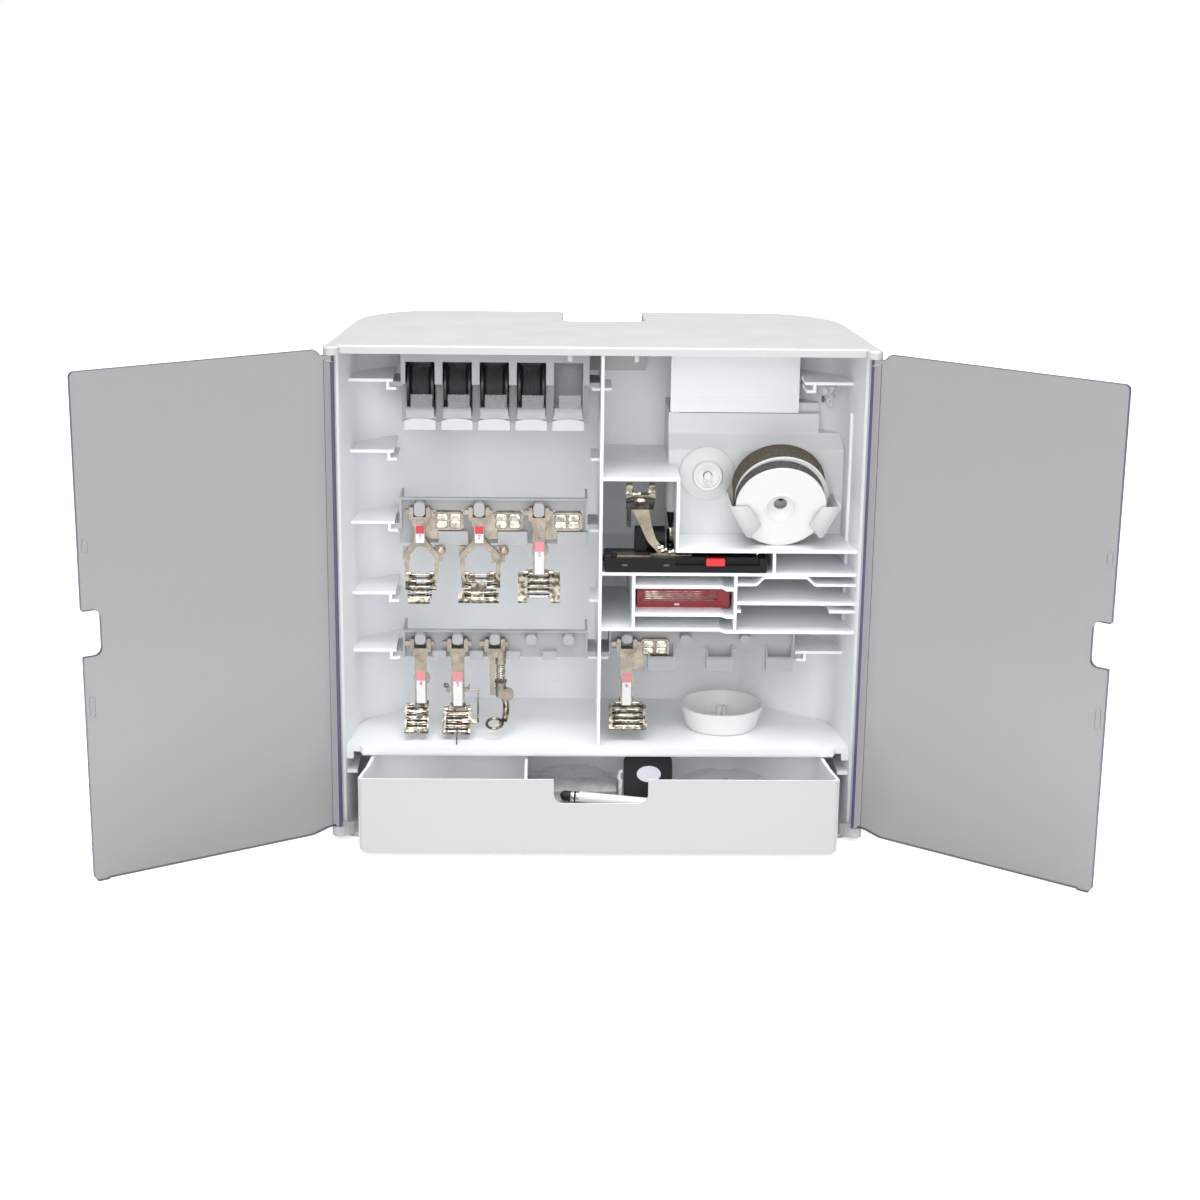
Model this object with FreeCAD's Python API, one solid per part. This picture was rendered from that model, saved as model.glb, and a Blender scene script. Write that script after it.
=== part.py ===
import FreeCAD, Part
import math
import os

# Sewing accessory box: a free-standing case with two smoked doors, a drawer, swing-out supports and its accessories.
# Millimetres. X runs to the right, Y to the back, Z up. The origin is the centre of the base underside.
# In all helper calls the depth y is counted from the front plane of the case towards the back.

# Case
BODY_DEPTH = 124.0
FRONT = -BODY_DEPTH / 2
BODY_HALF_WIDTH = 159.0
SIDE_TAPER = 0.129
SHELL_WALL = 2.0
LINER_WALL = 1.6
REAR_RADIUS = 46.0
FLOOR_TOP = 3.0
COVER_UNDERSIDE = 301.5
COVER_TOP = 306.5
COVER_HALF_WIDTH = 162.5
COVER_FRONT = -3.0
COVER_REAR = 127.0
COVER_REAR_RADIUS = 49.0
LINER_BACK = 100.0
BEND_Y = 57.0
CORNER_X = 86.0
BEND_RADIUS = 24.0
CORNER_RADIUS = 30.0
GRIP_LEFT = -23.0
GRIP_RIGHT = 27.0
GRIP_FRONT = 90.0
GRIP_FLOOR = 276.0

# Deck between the bays and the drawer
DECK_BOTTOM = 52.5
DECK_TOP = 56.5
DECK_FRONT = 3.0
SHELF_WALL = 1.8
DIVIDER_FRONT = 6.0

# Doors
PIVOT_X = 158.3
PIVOT_Y = -4.8
DOOR_WALL = 3.0
DOOR_REACH = 159.5
DOOR_BOTTOM = 6.3
DOOR_TOP = 304.9
PEG_RADIUS = 1.5
PEG_CLEARANCE = 0.05
LUG_RADIUS = 4.8
LUG_TOP = 9.0
LEFT_DOOR_ANGLE = 149.0
RIGHT_DOOR_ANGLE = 143.6

# Drawer
DRAWER_OUT = 36.0
DRAWER_HALF_WIDTH = 145.3
DRAWER_BOTTOM = 3.1
DRAWER_TOP = 50.3
DRAWER_WALL = 2.0
DRAWER_REAR = 93.0

# Swing-out supports
SUPPORT_PIN_X = 88.0
SUPPORT_PIN_Y = 115.0
SUPPORT_LENGTH = 56.0

# Rubber pads and base screws, given as plan positions
PAD_PLACES = ((-120.0, 20.0), (120.0, 20.0), (-60.0, 90.0), (60.0, 90.0))
SCREW_PLACES = ((-127.0, 97.0), (127.0, 97.0))

# Compartments on the right
SHELF_A = 225.4
SHELF_B = 181.5
SHELF_C = 167.0
SHELF_D = 132.1
BLOCK_FRONT = 45.0
BLOCK_SHOULDER = 134.0
POCKET_X = 110.4
POCKET_HALF = 34.0
POCKET_TOP = 209.4
POCKET_FRONT = 6.2
POCKET_POINT = 23.2
POCKET_POINT_Z = 190.3
CONE_X = 65.4
CONE_Z = 221.0
STACK_X = 107.9
STACK_Y = 8.7
STACK_Z = 208.0
STACK_LEAN = 20.0
STACK_RADIUS = 27.2
STACK_AXIS = (0, math.cos(math.radians(STACK_LEAN)), math.sin(math.radians(STACK_LEAN)))

# Clip rows
ROW_HEIGHTS = (279.5, 236.1, 191.8, 147.1, 110.3)
BRACKET_FRONT = 31.0
HOOK_X = 129.0
LUG_FRONT = 33.4

# Bobbins and their holder
SLOT_LEFT = -117.6
SLOT_PITCH = 22.2
SLOT_WIDTH = 17.6
SLOT_COUNT = 5
BOBBIN_COUNT = 4
BOBBIN_Y = 44.0
BOBBIN_Z = 274.7
BOBBIN_RADIUS = 15.0
BOBBIN_WIDTH = 15.7
FLANGE_WALL = 1.2
DRUM_RADIUS = 10.1
THREAD_RADIUS = 0.27
THREAD_TURNS = 12
KEY_PIVOT_Y = 57.0
KEY_PIVOT_Z = 258.6
LIP_HALF = 9.4
LIP_ARC = 30.0

# Presser feet
UPPER_PEGS = (-109.7, -73.6, -37.3)
UPPER_PEG_Z = 196.5
LOWER_PEGS = (-110.0, -87.0, -64.1, -41.6, -18.7)
LOWER_PEG_Z = 113.0
RIGHT_PEGS = (17.6, 53.8, 90.8)
RIGHT_PEG_Z = 113.4
SOLE_Y = 31.0
SOLE_TILT = 40.0
LEG_LAYER = (27.4, 30.4)


def place_plan(u, v, w):
    return FreeCAD.Vector(u, FRONT + v, w)


def place_front(u, v, w):
    return FreeCAD.Vector(u, FRONT + w, v)


def place_side(u, v, w):
    return FreeCAD.Vector(w, FRONT + u, v)


def rounded_wire(corners, place, level):
    # Closed outline through the corners; each corner is (u, v) or (u, v, rounding radius).
    entries = []
    exits = []
    middles = []
    count = len(corners)
    for i in range(count):
        here = FreeCAD.Vector(corners[i][0], corners[i][1], 0)
        before = FreeCAD.Vector(corners[i - 1][0], corners[i - 1][1], 0)
        after = FreeCAD.Vector(corners[(i + 1) % count][0], corners[(i + 1) % count][1], 0)
        radius = corners[i][2] if len(corners[i]) > 2 else 0
        if radius == 0:
            entries.append(here)
            exits.append(here)
            middles.append(None)
            continue
        to_before = (before - here).normalize()
        to_after = (after - here).normalize()
        half_angle = math.acos(max(-1, min(1, to_before.dot(to_after)))) / 2
        setback = radius / math.tan(half_angle)
        bisector = (to_before + to_after).normalize()
        centre = here + bisector * (radius / math.sin(half_angle))
        entries.append(here + to_before * setback)
        exits.append(here + to_after * setback)
        middles.append(centre - bisector * radius)
    edges = []
    for i in range(count):
        if middles[i] is not None:
            start = place(entries[i].x, entries[i].y, level)
            middle = place(middles[i].x, middles[i].y, level)
            end = place(exits[i].x, exits[i].y, level)
            edges.append(Part.Arc(start, middle, end).toShape())
        line_start = exits[i]
        line_end = entries[(i + 1) % count]
        if line_start.distanceToPoint(line_end) > 1e-6:
            start = place(line_start.x, line_start.y, level)
            end = place(line_end.x, line_end.y, level)
            edges.append(Part.makeLine(start, end))
    return Part.Wire(edges)


def plan_prism(corners, z):
    face = Part.Face(rounded_wire(corners, place_plan, z[0]))
    return face.extrude(FreeCAD.Vector(0, 0, z[1] - z[0]))


def front_prism(corners, y):
    face = Part.Face(rounded_wire(corners, place_front, y[0]))
    return face.extrude(FreeCAD.Vector(0, y[1] - y[0], 0))


def side_prism(corners, x):
    face = Part.Face(rounded_wire(corners, place_side, x[0]))
    return face.extrude(FreeCAD.Vector(x[1] - x[0], 0, 0))


def block(x, y, z):
    corner = FreeCAD.Vector(x[0], FRONT + y[0], z[0])
    return Part.makeBox(x[1] - x[0], y[1] - y[0], z[1] - z[0], corner)


def rounded_block(x, y, z, radius):
    # Block with rounded corners in the front view.
    corners = [(x[0], z[0], radius), (x[1], z[0], radius), (x[1], z[1], radius), (x[0], z[1], radius)]
    return front_prism(corners, y)


def rod(x, y, z, radius, length, direction):
    base = FreeCAD.Vector(x, FRONT + y, z)
    return Part.makeCylinder(radius, length, base, FreeCAD.Vector(*direction))


def join(first, *others):
    return first.fuse(list(others)).removeSplitter()


def mirrored(shape):
    return shape.mirror(FreeCAD.Vector(0, 0, 0), FreeCAD.Vector(1, 0, 0))


def turned(shape, x, y, z, axis, angle):
    copy = shape.copy()
    copy.rotate(FreeCAD.Vector(x, FRONT + y, z), FreeCAD.Vector(*axis), angle)
    return copy


def moved(shape, x, y, z):
    copy = shape.copy()
    copy.translate(FreeCAD.Vector(x, y, z))
    return copy


def lathe(profile, x, y, z, direction):
    # Turn a closed profile of (radius, height) corners about an axis through the point.
    points = [FreeCAD.Vector(r, 0, h) for r, h in profile]
    points.append(points[0])
    face = Part.Face(Part.makePolygon(points))
    solid = face.revolve(FreeCAD.Vector(0, 0, 0), FreeCAD.Vector(0, 0, 1), 360)
    turn = FreeCAD.Rotation(FreeCAD.Vector(0, 0, 1), FreeCAD.Vector(*direction))
    solid.Placement = FreeCAD.Placement(FreeCAD.Vector(x, FRONT + y, z), turn)
    return solid


def save(name, shape):
    if not shape.isValid():
        print("not valid:", name)
    os.makedirs("parts", exist_ok=True)
    shape.exportStep("parts/" + name + ".step")
    box = shape.BoundBox
    size = "%.1f x %.1f x %.1f" % (box.XLength, box.YLength, box.ZLength)
    print("%-22s %d solid(s)  %s" % (name, len(shape.Solids), size))


# Outlines seen from above


def wall_x(y, inset):
    # Half width of the tapering side wall at depth y, moved inwards by the inset.
    return BODY_HALF_WIDTH - SIDE_TAPER * y - inset * math.sqrt(1 + SIDE_TAPER ** 2)


def body_corners(inset, start):
    half_front = wall_x(start, inset)
    half_rear = wall_x(BODY_DEPTH - inset, inset)
    radius = REAR_RADIUS - inset
    rear = BODY_DEPTH - inset
    return [(-half_front, start), (half_front, start), (half_rear, rear, radius), (-half_rear, rear, radius)]


def bay_corners(inset, start, extra_radius=0.0):
    # Inner plan of the bays: tapering side, slanting rear quarter and flat back wall.
    side_inset = SHELL_WALL + LINER_WALL + inset
    bend = FreeCAD.Vector(wall_x(BEND_Y, SHELL_WALL + LINER_WALL), BEND_Y, 0)
    corner = FreeCAD.Vector(CORNER_X, LINER_BACK, 0)
    along = (corner - bend).normalize()
    inward = FreeCAD.Vector(-along.y, along.x, 0)
    point = bend + inward * inset
    side_reach = BODY_HALF_WIDTH - side_inset * math.sqrt(1 + SIDE_TAPER ** 2) - SIDE_TAPER * point.y - point.x
    bend_here = point + along * (side_reach / (along.x + SIDE_TAPER * along.y))
    corner_here = point + along * ((LINER_BACK - inset - point.y) / along.y)
    right = [
        (wall_x(start, side_inset), start),
        (bend_here.x, bend_here.y, BEND_RADIUS + extra_radius - inset),
        (corner_here.x, corner_here.y, CORNER_RADIUS + extra_radius - inset),
    ]
    left = [(-corner[0],) + corner[1:] for corner in reversed(right)]
    return right + left


def bay_fill(z, start=DECK_FRONT):
    # Everything inside the inner wall between two heights, used to trim what stands in the bays.
    return plan_prism(bay_corners(0, start, 8.0), z)


# Case


def make_base_plate():
    plate = plan_prism(
        [
            (-BODY_HALF_WIDTH, COVER_FRONT, 12.0),
            (BODY_HALF_WIDTH, COVER_FRONT, 12.0),
            (wall_x(BODY_DEPTH, 0), BODY_DEPTH, REAR_RADIUS),
            (-wall_x(BODY_DEPTH, 0), BODY_DEPTH, REAR_RADIUS),
        ],
        (0, FLOOR_TOP),
    )
    lug = join(
        rod(PIVOT_X, PIVOT_Y, FLOOR_TOP, LUG_RADIUS, LUG_TOP - FLOOR_TOP, (0, 0, 1)),
        plan_prism([(150, -2.9), (153.2, -7.4), (160, -3), (BODY_HALF_WIDTH, -0.1), (150, -0.1)], (2.6, LUG_TOP)),
    )
    lug = lug.cut(block((140, 170), (0, 6), (FLOOR_TOP, 20)))
    plate = join(plate, lug, mirrored(lug))
    for side in (-1, 1):
        bore = rod(side * PIVOT_X, PIVOT_Y, LUG_TOP - 4.0, PEG_RADIUS + PEG_CLEARANCE, 5, (0, 0, 1))
        plate = plate.cut(bore)
        slot = block((20, 98), (108, BODY_DEPTH + 1), (-1, FLOOR_TOP + 1))
        roof = join(
            block((18, 100), (103.5, 121), (11.2, 13.2)),
            block((18, 100), (103.5, 107.5), (FLOOR_TOP - 0.5, 12)),
        )
        pin = rod(SUPPORT_PIN_X, SUPPORT_PIN_Y, 2.0, 2.0, 10, (0, 0, 1))
        if side < 0:
            slot = mirrored(slot)
            roof = mirrored(roof)
            pin = mirrored(pin)
        plate = join(plate.cut(slot), roof, pin)
    for x, y in PAD_PLACES:
        plate = plate.cut(rod(x, y, -1, 6.3, 2.0, (0, 0, 1)))
    for x, y in SCREW_PLACES:
        plate = plate.cut(rod(x, y, -1, 1.8, 5, (0, 0, 1)))
        plate = plate.cut(rod(x, y, -1, 3.6, 2.4, (0, 0, 1)))
    save("base_plate", plate)


def make_housing_shell():
    outer = plan_prism(body_corners(0, 0), (FLOOR_TOP, COVER_UNDERSIDE))
    hollow = plan_prism(body_corners(SHELL_WALL, -1), (FLOOR_TOP - 1, COVER_UNDERSIDE + 1))
    shell = outer.cut(hollow)
    grip = block((GRIP_LEFT, GRIP_RIGHT), (110, 130), (GRIP_FLOOR + 1.6, COVER_UNDERSIDE + 1))
    shell = shell.cut(grip)
    for side in (-1, 1):
        slot = block((20, 98), (110, 130), (FLOOR_TOP - 1, 11.2))
        if side < 0:
            slot = mirrored(slot)
        shell = shell.cut(slot)
    trim = plan_prism(body_corners(SHELL_WALL / 2, 60), (FLOOR_TOP, 60))
    for x, y in SCREW_PLACES:
        rib_end = x + math.copysign(30, x)
        rib = block(sorted((x, rib_end)), (y - 1, y + 1), (FLOOR_TOP, 20))
        boss = join(rod(x, y, FLOOR_TOP, 4.0, 18, (0, 0, 1)), rib.common(trim))
        boss = boss.cut(rod(x, y, FLOOR_TOP - 1, 1.5, 16, (0, 0, 1)))
        shell = join(shell, boss)
    save("housing_shell", shell)


def make_inner_liner():
    outer = plan_prism(bay_corners(-LINER_WALL, DECK_FRONT), (FLOOR_TOP, COVER_UNDERSIDE))
    hollow = plan_prism(bay_corners(0, DECK_FRONT - 1), (FLOOR_TOP - 1, COVER_UNDERSIDE + 1))
    liner = outer.cut(hollow)
    inside = plan_prism(bay_corners(-0.8, DECK_FRONT), (FLOOR_TOP, COVER_UNDERSIDE))
    pieces = []
    for z in ROW_HEIGHTS:
        plate = block((-170, -125), (BRACKET_FRONT, 99), (z - 0.9, z + 0.9)).common(inside)
        leg = block((-HOOK_X, -HOOK_X + 1.8), (BRACKET_FRONT, 62), (z - 5.7, z))
        foot = block((-HOOK_X, -HOOK_X + 6), (BRACKET_FRONT, 62), (z - 5.7, z - 4.1))
        pieces += [plate, leg, foot]
    for z in (ROW_HEIGHTS[0], ROW_HEIGHTS[4]):
        plate = block((122.2, 170), (BRACKET_FRONT, 99), (z - 0.9, z + 0.9)).common(inside)
        leg = block((HOOK_X - 1.8, HOOK_X), (BRACKET_FRONT, 62), (z - 5.7, z))
        foot = block((HOOK_X - 6, HOOK_X), (BRACKET_FRONT, 62), (z - 5.7, z - 4.1))
        pieces += [plate, leg, foot]
    for side in (-1, 1):
        rail = block((148.2, 170), (7, 34), (38.6, 40.6)).common(inside)
        step = block((150.5, 170), (7, 34), (48.0, DECK_BOTTOM)).common(inside)
        pieces += [rail, step] if side > 0 else [mirrored(rail), mirrored(step)]
    pieces.append(block((139, 170), (DIVIDER_FRONT, 80), (143.1, 144.9)).common(inside))
    liner = join(liner, *pieces)
    liner = join(liner, wall_rib())
    grip = block((GRIP_LEFT - 2, GRIP_RIGHT + 2), (GRIP_FRONT - 4, 130), (GRIP_FLOOR, COVER_UNDERSIDE + 1))
    liner = liner.cut(grip)
    save("inner_liner", liner)


def wall_rib(grow=0.0):
    # Half-round rib up the right wall beside the spool block.
    foot_y = 30.0
    x = wall_x(foot_y, SHELL_WALL + LINER_WALL) - 0.3
    return rod(x, foot_y, 131 - grow, 1.4 + grow, 131 + 2 * grow, (0, 0, 1))


def make_top_cover():
    side_slope = SIDE_TAPER * (COVER_REAR - COVER_FRONT)
    rear_half = COVER_HALF_WIDTH - side_slope
    rear = COVER_REAR
    corners = [
        (-COVER_HALF_WIDTH, COVER_FRONT, 1.5),
        (COVER_HALF_WIDTH, COVER_FRONT, 1.5),
        (rear_half, rear, COVER_REAR_RADIUS),
        (GRIP_RIGHT, rear, 2.0),
        (GRIP_RIGHT, GRIP_FRONT, 6.0),
        (GRIP_LEFT, GRIP_FRONT, 6.0),
        (GRIP_LEFT, rear, 2.0),
        (-rear_half, rear, COVER_REAR_RADIUS),
    ]
    cover = plan_prism(corners, (COVER_UNDERSIDE, COVER_TOP))
    height = COVER_TOP - COVER_UNDERSIDE
    for side in (-1, 1):
        lug = rod(side * PIVOT_X, PIVOT_Y, COVER_UNDERSIDE, LUG_RADIUS, height, (0, 0, 1))
        neck_in = side * (PIVOT_X - LUG_RADIUS)
        neck_out = side * COVER_HALF_WIDTH
        neck = block(sorted((neck_in, neck_out)), (PIVOT_Y, 0), (COVER_UNDERSIDE, COVER_TOP))
        cover = join(cover, lug, neck)
    rim = [edge for edge in cover.Edges if edge.BoundBox.ZMin > COVER_TOP - 0.01]
    cover = cover.makeFillet(1.4, rim)
    for side in (-1, 1):
        bore = rod(side * PIVOT_X, PIVOT_Y, COVER_UNDERSIDE - 1, PEG_RADIUS + PEG_CLEARANCE, 4.4, (0, 0, 1))
        catch = block((side * 19.5 - 1.2, side * 19.5 + 1.2), (-0.6, 4), (COVER_UNDERSIDE - 4, COVER_UNDERSIDE + 0.5))
        cover = join(cover.cut(bore), catch)
    save("top_cover", cover)


def make_grip_pocket():
    outer = block((GRIP_LEFT - 1.6, GRIP_RIGHT + 1.6), (GRIP_FRONT - 1.6, 121.9), (GRIP_FLOOR + 0.1, COVER_UNDERSIDE))
    hollow = block((GRIP_LEFT, GRIP_RIGHT), (GRIP_FRONT, 125), (GRIP_FLOOR + 1.7, COVER_UNDERSIDE + 1))
    save("grip_pocket", outer.cut(hollow))


def make_deck_plate():
    deck = plan_prism(bay_corners(0, 7, 8.0), (DECK_BOTTOM, DECK_TOP))
    nose = plan_prism([(-146, DECK_FRONT, 2), (146, DECK_FRONT, 2), (146, 12), (-146, 12)], (DECK_BOTTOM, DECK_TOP))
    lip = block((-145, 145), (DECK_FRONT + 1, DECK_FRONT + 3), (DECK_BOTTOM - 1.4, DECK_BOTTOM + 1))
    save("deck_plate", join(deck, nose, lip))


def make_centre_divider():
    half = SHELF_WALL / 2
    sheet = side_prism(
        [
            (DIVIDER_FRONT, DECK_TOP),
            (LINER_BACK, DECK_TOP),
            (LINER_BACK, GRIP_FLOOR - 0.5),
            (GRIP_FRONT - 4.5, GRIP_FLOOR - 0.5),
            (GRIP_FRONT - 4.5, COVER_UNDERSIDE),
            (DIVIDER_FRONT, COVER_UNDERSIDE),
        ],
        (-half, half),
    )
    pieces = []
    for row, z in enumerate(ROW_HEIGHTS):
        pieces.append(block((-5.9, 0), (34, 62), (z - 5.9, z - 4.1)))
        if row in (0, 4):
            pieces.append(block((0, 6.2), (34, 62), (z - 5.9, z - 4.1)))
    save("centre_divider", join(sheet, *pieces))


def stepped_shelf(left, right, z, step_start, step_end, drop):
    # Shelf whose front view steps down a little near its right end.
    top = z + 0.9
    bottom = z - 0.9
    corners = [
        (left, bottom),
        (step_start, bottom),
        (step_end, bottom - drop),
        (right, bottom - drop),
        (right, top - drop),
        (step_end, top - drop),
        (step_start, top),
        (left, top),
    ]
    return front_prism(corners, (DIVIDER_FRONT, LINER_BACK))


def make_compartment_insert():
    depth = (DIVIDER_FRONT, LINER_BACK)
    half = SHELF_WALL / 2
    left = half
    reach = 160

    def shelf(x, z, y=depth):
        return block(x, y, (z - half, z + half))

    def wall(x, z, y=depth):
        return block((x - half, x + half), y, z)

    short = (DIVIDER_FRONT, 80)
    pieces = [
        shelf((left, 46.9), SHELF_A),
        wall(46.0, (SHELF_B, SHELF_A), (DIVIDER_FRONT, BLOCK_FRONT)),
        shelf((45.1, reach), SHELF_B),
        wall(104.8, (SHELF_C, SHELF_B)),
        shelf((left, reach), SHELF_C),
        wall(20.3, (SHELF_D, SHELF_C)),
        wall(82.0, (SHELF_D - 1.3, SHELF_C)),
        stepped_shelf(20.3, 82.0, 159.0, 73.6, 76.5, 1.5),
        stepped_shelf(20.3, 82.0, 141.4, 73.6, 76.5, 1.2),
        stepped_shelf(left, reach, SHELF_D, 73.0, 76.0, 1.3),
        shelf((82.0, reach), 148.9),
        shelf((82.0, 85.5), 144.0, short),
    ]
    arch = [
        (82.0, 159.9), (94.7, 159.9, 3), (99.1, 164.6, 3), (124.9, 164.6, 3), (129.8, 159.9, 3), (reach, 159.9),
        (reach, 161.3), (130.2, 161.3, 3), (125.2, 166.1, 2), (98.7, 166.1, 2), (94.3, 161.3, 3), (82.0, 161.3),
    ]
    pieces.append(front_prism(arch, short))
    insert = pieces[0].fuse(pieces[1:]).removeSplitter()
    insert = insert.common(bay_fill((120, 240)))
    insert = insert.cut(wall_rib(0.3))
    save("compartment_insert", insert)


def stack_ring(radius, start, end, bore=0.0, shift=0.0):
    # Ring or disc of the leaning stack, between two distances behind its front face.
    profile = [(bore, start), (radius, start), (radius, end), (bore, end)]
    return lathe(profile, STACK_X + shift, STACK_Y, STACK_Z, STACK_AXIS)


def make_spool_block():
    profile = [
        (BLOCK_FRONT, SHELF_B + 1.0), (BLOCK_FRONT, 235.2, 2), (53, 244.0, 3), (53, 256.6), (60, 256.9), (60, 262),
        (99.0, 262), (99.0, SHELF_B + 1.0),
    ]
    body = side_prism(profile, (47.0, 160))
    body = body.cut(block((BLOCK_SHOULDER, 170), (40, 100), (244.5, 263)))
    shoulder_z = SHELF_A + 1.0
    upper_profile = [(BLOCK_FRONT, shoulder_z), (BLOCK_FRONT, 235.2, 2), (53, 244.0, 3), (53, 257), (99.0, 257)]
    upper_profile.append((99.0, shoulder_z))
    body = join(body, side_prism(upper_profile, (41.8, 48)))
    cheeks = []
    for side in (-1, 1):
        outer_x = POCKET_X + side * POCKET_HALF
        point_x = POCKET_X + side * POCKET_POINT
        inner_x = POCKET_X + side * 14.8
        top_x = POCKET_X + side * 20.0
        cheek = [(outer_x, POCKET_TOP), (top_x, POCKET_TOP, 1), (inner_x, 198.4), (point_x, POCKET_POINT_Z)]
        cheeks.append(front_prism(cheek, (POCKET_FRONT, POCKET_FRONT + 1.8)))
        inside = side * 1.8
        wall = [(outer_x, POCKET_TOP), (outer_x - inside, POCKET_TOP), (point_x - inside, POCKET_POINT_Z)]
        wall.append((point_x, POCKET_POINT_Z))
        wall = front_prism(wall, (POCKET_FRONT, BLOCK_FRONT + 1))
        cone_room = rod(CONE_X, POCKET_FRONT, CONE_Z, 17.2, BLOCK_FRONT - POCKET_FRONT, (0, 1, 0))
        cheeks.append(wall.cut(stack_ring(STACK_RADIUS + 1.6, 0.0, 40.0)).cut(cone_room))
    body = join(body, *cheeks).common(plan_prism(bay_corners(0.3, 10), (180, 270)))
    body = join(body, rod(CONE_X, BLOCK_FRONT + 1, CONE_Z, 2.4, 12, (0, -1, 0)))
    save("spool_block", body)


def make_flat_panel():
    panel = rounded_block((42.7, 121.3), (53.2, 55.0), (257.1, 300.8), 0.8)
    for z in (263.6, 266.2):
        panel = panel.cut(block((46, 118), (53.0, 53.5), (z, z + 0.5)))
    foot = block((50, 84), (55.0, 96), (262.0, 264.0))
    save("flat_panel", join(panel, foot))


def make_rubber_pads():
    pads = [rod(x, y, 0, 6.0, 1.0, (0, 0, 1)) for x, y in PAD_PLACES]
    save("rubber_pads", Part.makeCompound(pads))


def make_base_screws():
    screws = []
    for x, y in SCREW_PLACES:
        head = rod(x, y, 0.2, 3.2, 1.2, (0, 0, 1)).cut(rod(x, y, 0.1, 1.3, 0.8, (0, 0, 1)))
        screws.append(join(head, rod(x, y, 1.3, 1.2, 13, (0, 0, 1))))
    save("base_screws", Part.makeCompound(screws))


# Doors, drawer and supports


def closed_right_door():
    edge = PIVOT_X + PEG_RADIUS

    def at(w, z, radius=0):
        return (edge - w, z, radius)

    corners = [
        at(1.5, 9.3), at(9, 9.3, 8), at(20, DOOR_BOTTOM, 12), at(DOOR_REACH, DOOR_BOTTOM, 3),
        at(DOOR_REACH, 141.8, 1), at(DOOR_REACH - 11.2, 141.8, 4.5), at(DOOR_REACH - 11.2, 168.8, 4.5),
        at(DOOR_REACH, 168.8, 1), at(DOOR_REACH, DOOR_TOP, 3), at(12, DOOR_TOP, 2), at(8.5, 301.2, 1), at(1.5, 301.2),
    ]
    half = DOOR_WALL / 2
    panel = front_prism(corners, (PIVOT_Y - half, PIVOT_Y + half))
    pegs = rod(PIVOT_X, PIVOT_Y, LUG_TOP - 3.6, PEG_RADIUS, 301.2 - LUG_TOP + 7.0, (0, 0, 1))
    flange = block((PIVOT_X - 5.8, PIVOT_X - 3.8), (PIVOT_Y + half - 0.5, PIVOT_Y + 10.5), (12.0, 299.0))
    pads = []
    for z, tall in ((206.7, 8.0), (112.0, 12.0)):
        x = edge - DOOR_REACH + 3.6
        y = (PIVOT_Y + half - 0.3, PIVOT_Y + half + 0.6)
        pads.append(rounded_block((x - 1.6, x + 1.6), y, (z - tall / 2, z + tall / 2), 1.5))
    tab = block((edge - DOOR_REACH + 2, edge - DOOR_REACH + 9), (PIVOT_Y - half, PIVOT_Y + half), (5.5, 7.0))
    return join(panel, pegs, flange, tab, *pads)


def make_doors():
    right = closed_right_door()
    left = mirrored(right)
    save("right_door", turned(right, PIVOT_X, PIVOT_Y, 0, (0, 0, 1), RIGHT_DOOR_ANGLE))
    save("left_door", turned(left, -PIVOT_X, PIVOT_Y, 0, (0, 0, 1), -LEFT_DOOR_ANGLE))


def drawer_plan(inset):
    half = DRAWER_HALF_WIDTH - inset
    rear_corner = (86 - inset * 0.3, DRAWER_REAR - inset, 20)
    right = [(half, inset, 3), (half - 4.0, 22, 70), (138 - inset, 52, 25), rear_corner]
    left = [(-corner[0],) + corner[1:] for corner in reversed(right)]
    return right + left


def make_drawer():
    tall = (DRAWER_BOTTOM, DRAWER_TOP)

    def front_view(inset, radius):
        half = DRAWER_HALF_WIDTH - inset
        low = DRAWER_BOTTOM + inset
        return front_prism([(-half, low, radius), (half, low, radius), (half, 60), (-half, 60)], (-1, 100))

    outer = plan_prism(drawer_plan(0), tall).common(front_view(0, 6))
    inner_height = (DRAWER_BOTTOM + DRAWER_WALL, 60)
    inner = plan_prism(drawer_plan(DRAWER_WALL), inner_height).common(front_view(DRAWER_WALL, 4.2))
    notch = front_prism([(-27.4, 60), (-27.4, 34.9, 6), (29.4, 34.9, 6), (29.4, 60)], (-1, 4))
    tray = outer.cut(inner).cut(notch)
    tray = moved(tray, 0, -DRAWER_OUT, 0)
    save("drawer_tray", tray)
    wall_y = (DRAWER_WALL - DRAWER_OUT, DRAWER_REAR - DRAWER_WALL - DRAWER_OUT)
    save("drawer_partition", block((-45.0, -43.4), wall_y, (DRAWER_BOTTOM + DRAWER_WALL, 49.0)))


def make_supports():
    arm = plan_prism(
        [
            (SUPPORT_PIN_X - SUPPORT_LENGTH, SUPPORT_PIN_Y - 4.8, 4.5),
            (SUPPORT_PIN_X, SUPPORT_PIN_Y - 4.8),
            (SUPPORT_PIN_X, SUPPORT_PIN_Y + 4.8),
            (SUPPORT_PIN_X - SUPPORT_LENGTH, SUPPORT_PIN_Y + 4.8, 4.5),
        ],
        (0, 10.9),
    )
    arm = join(arm, rod(SUPPORT_PIN_X, SUPPORT_PIN_Y, 0, 4.8, 10.9, (0, 0, 1)))
    arm = arm.cut(rod(SUPPORT_PIN_X, SUPPORT_PIN_Y, -1, 2.0 + PEG_CLEARANCE, 13, (0, 0, 1)))
    save("support_right", arm)
    save("support_left", mirrored(arm))


# Wound and coiled things


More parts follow.
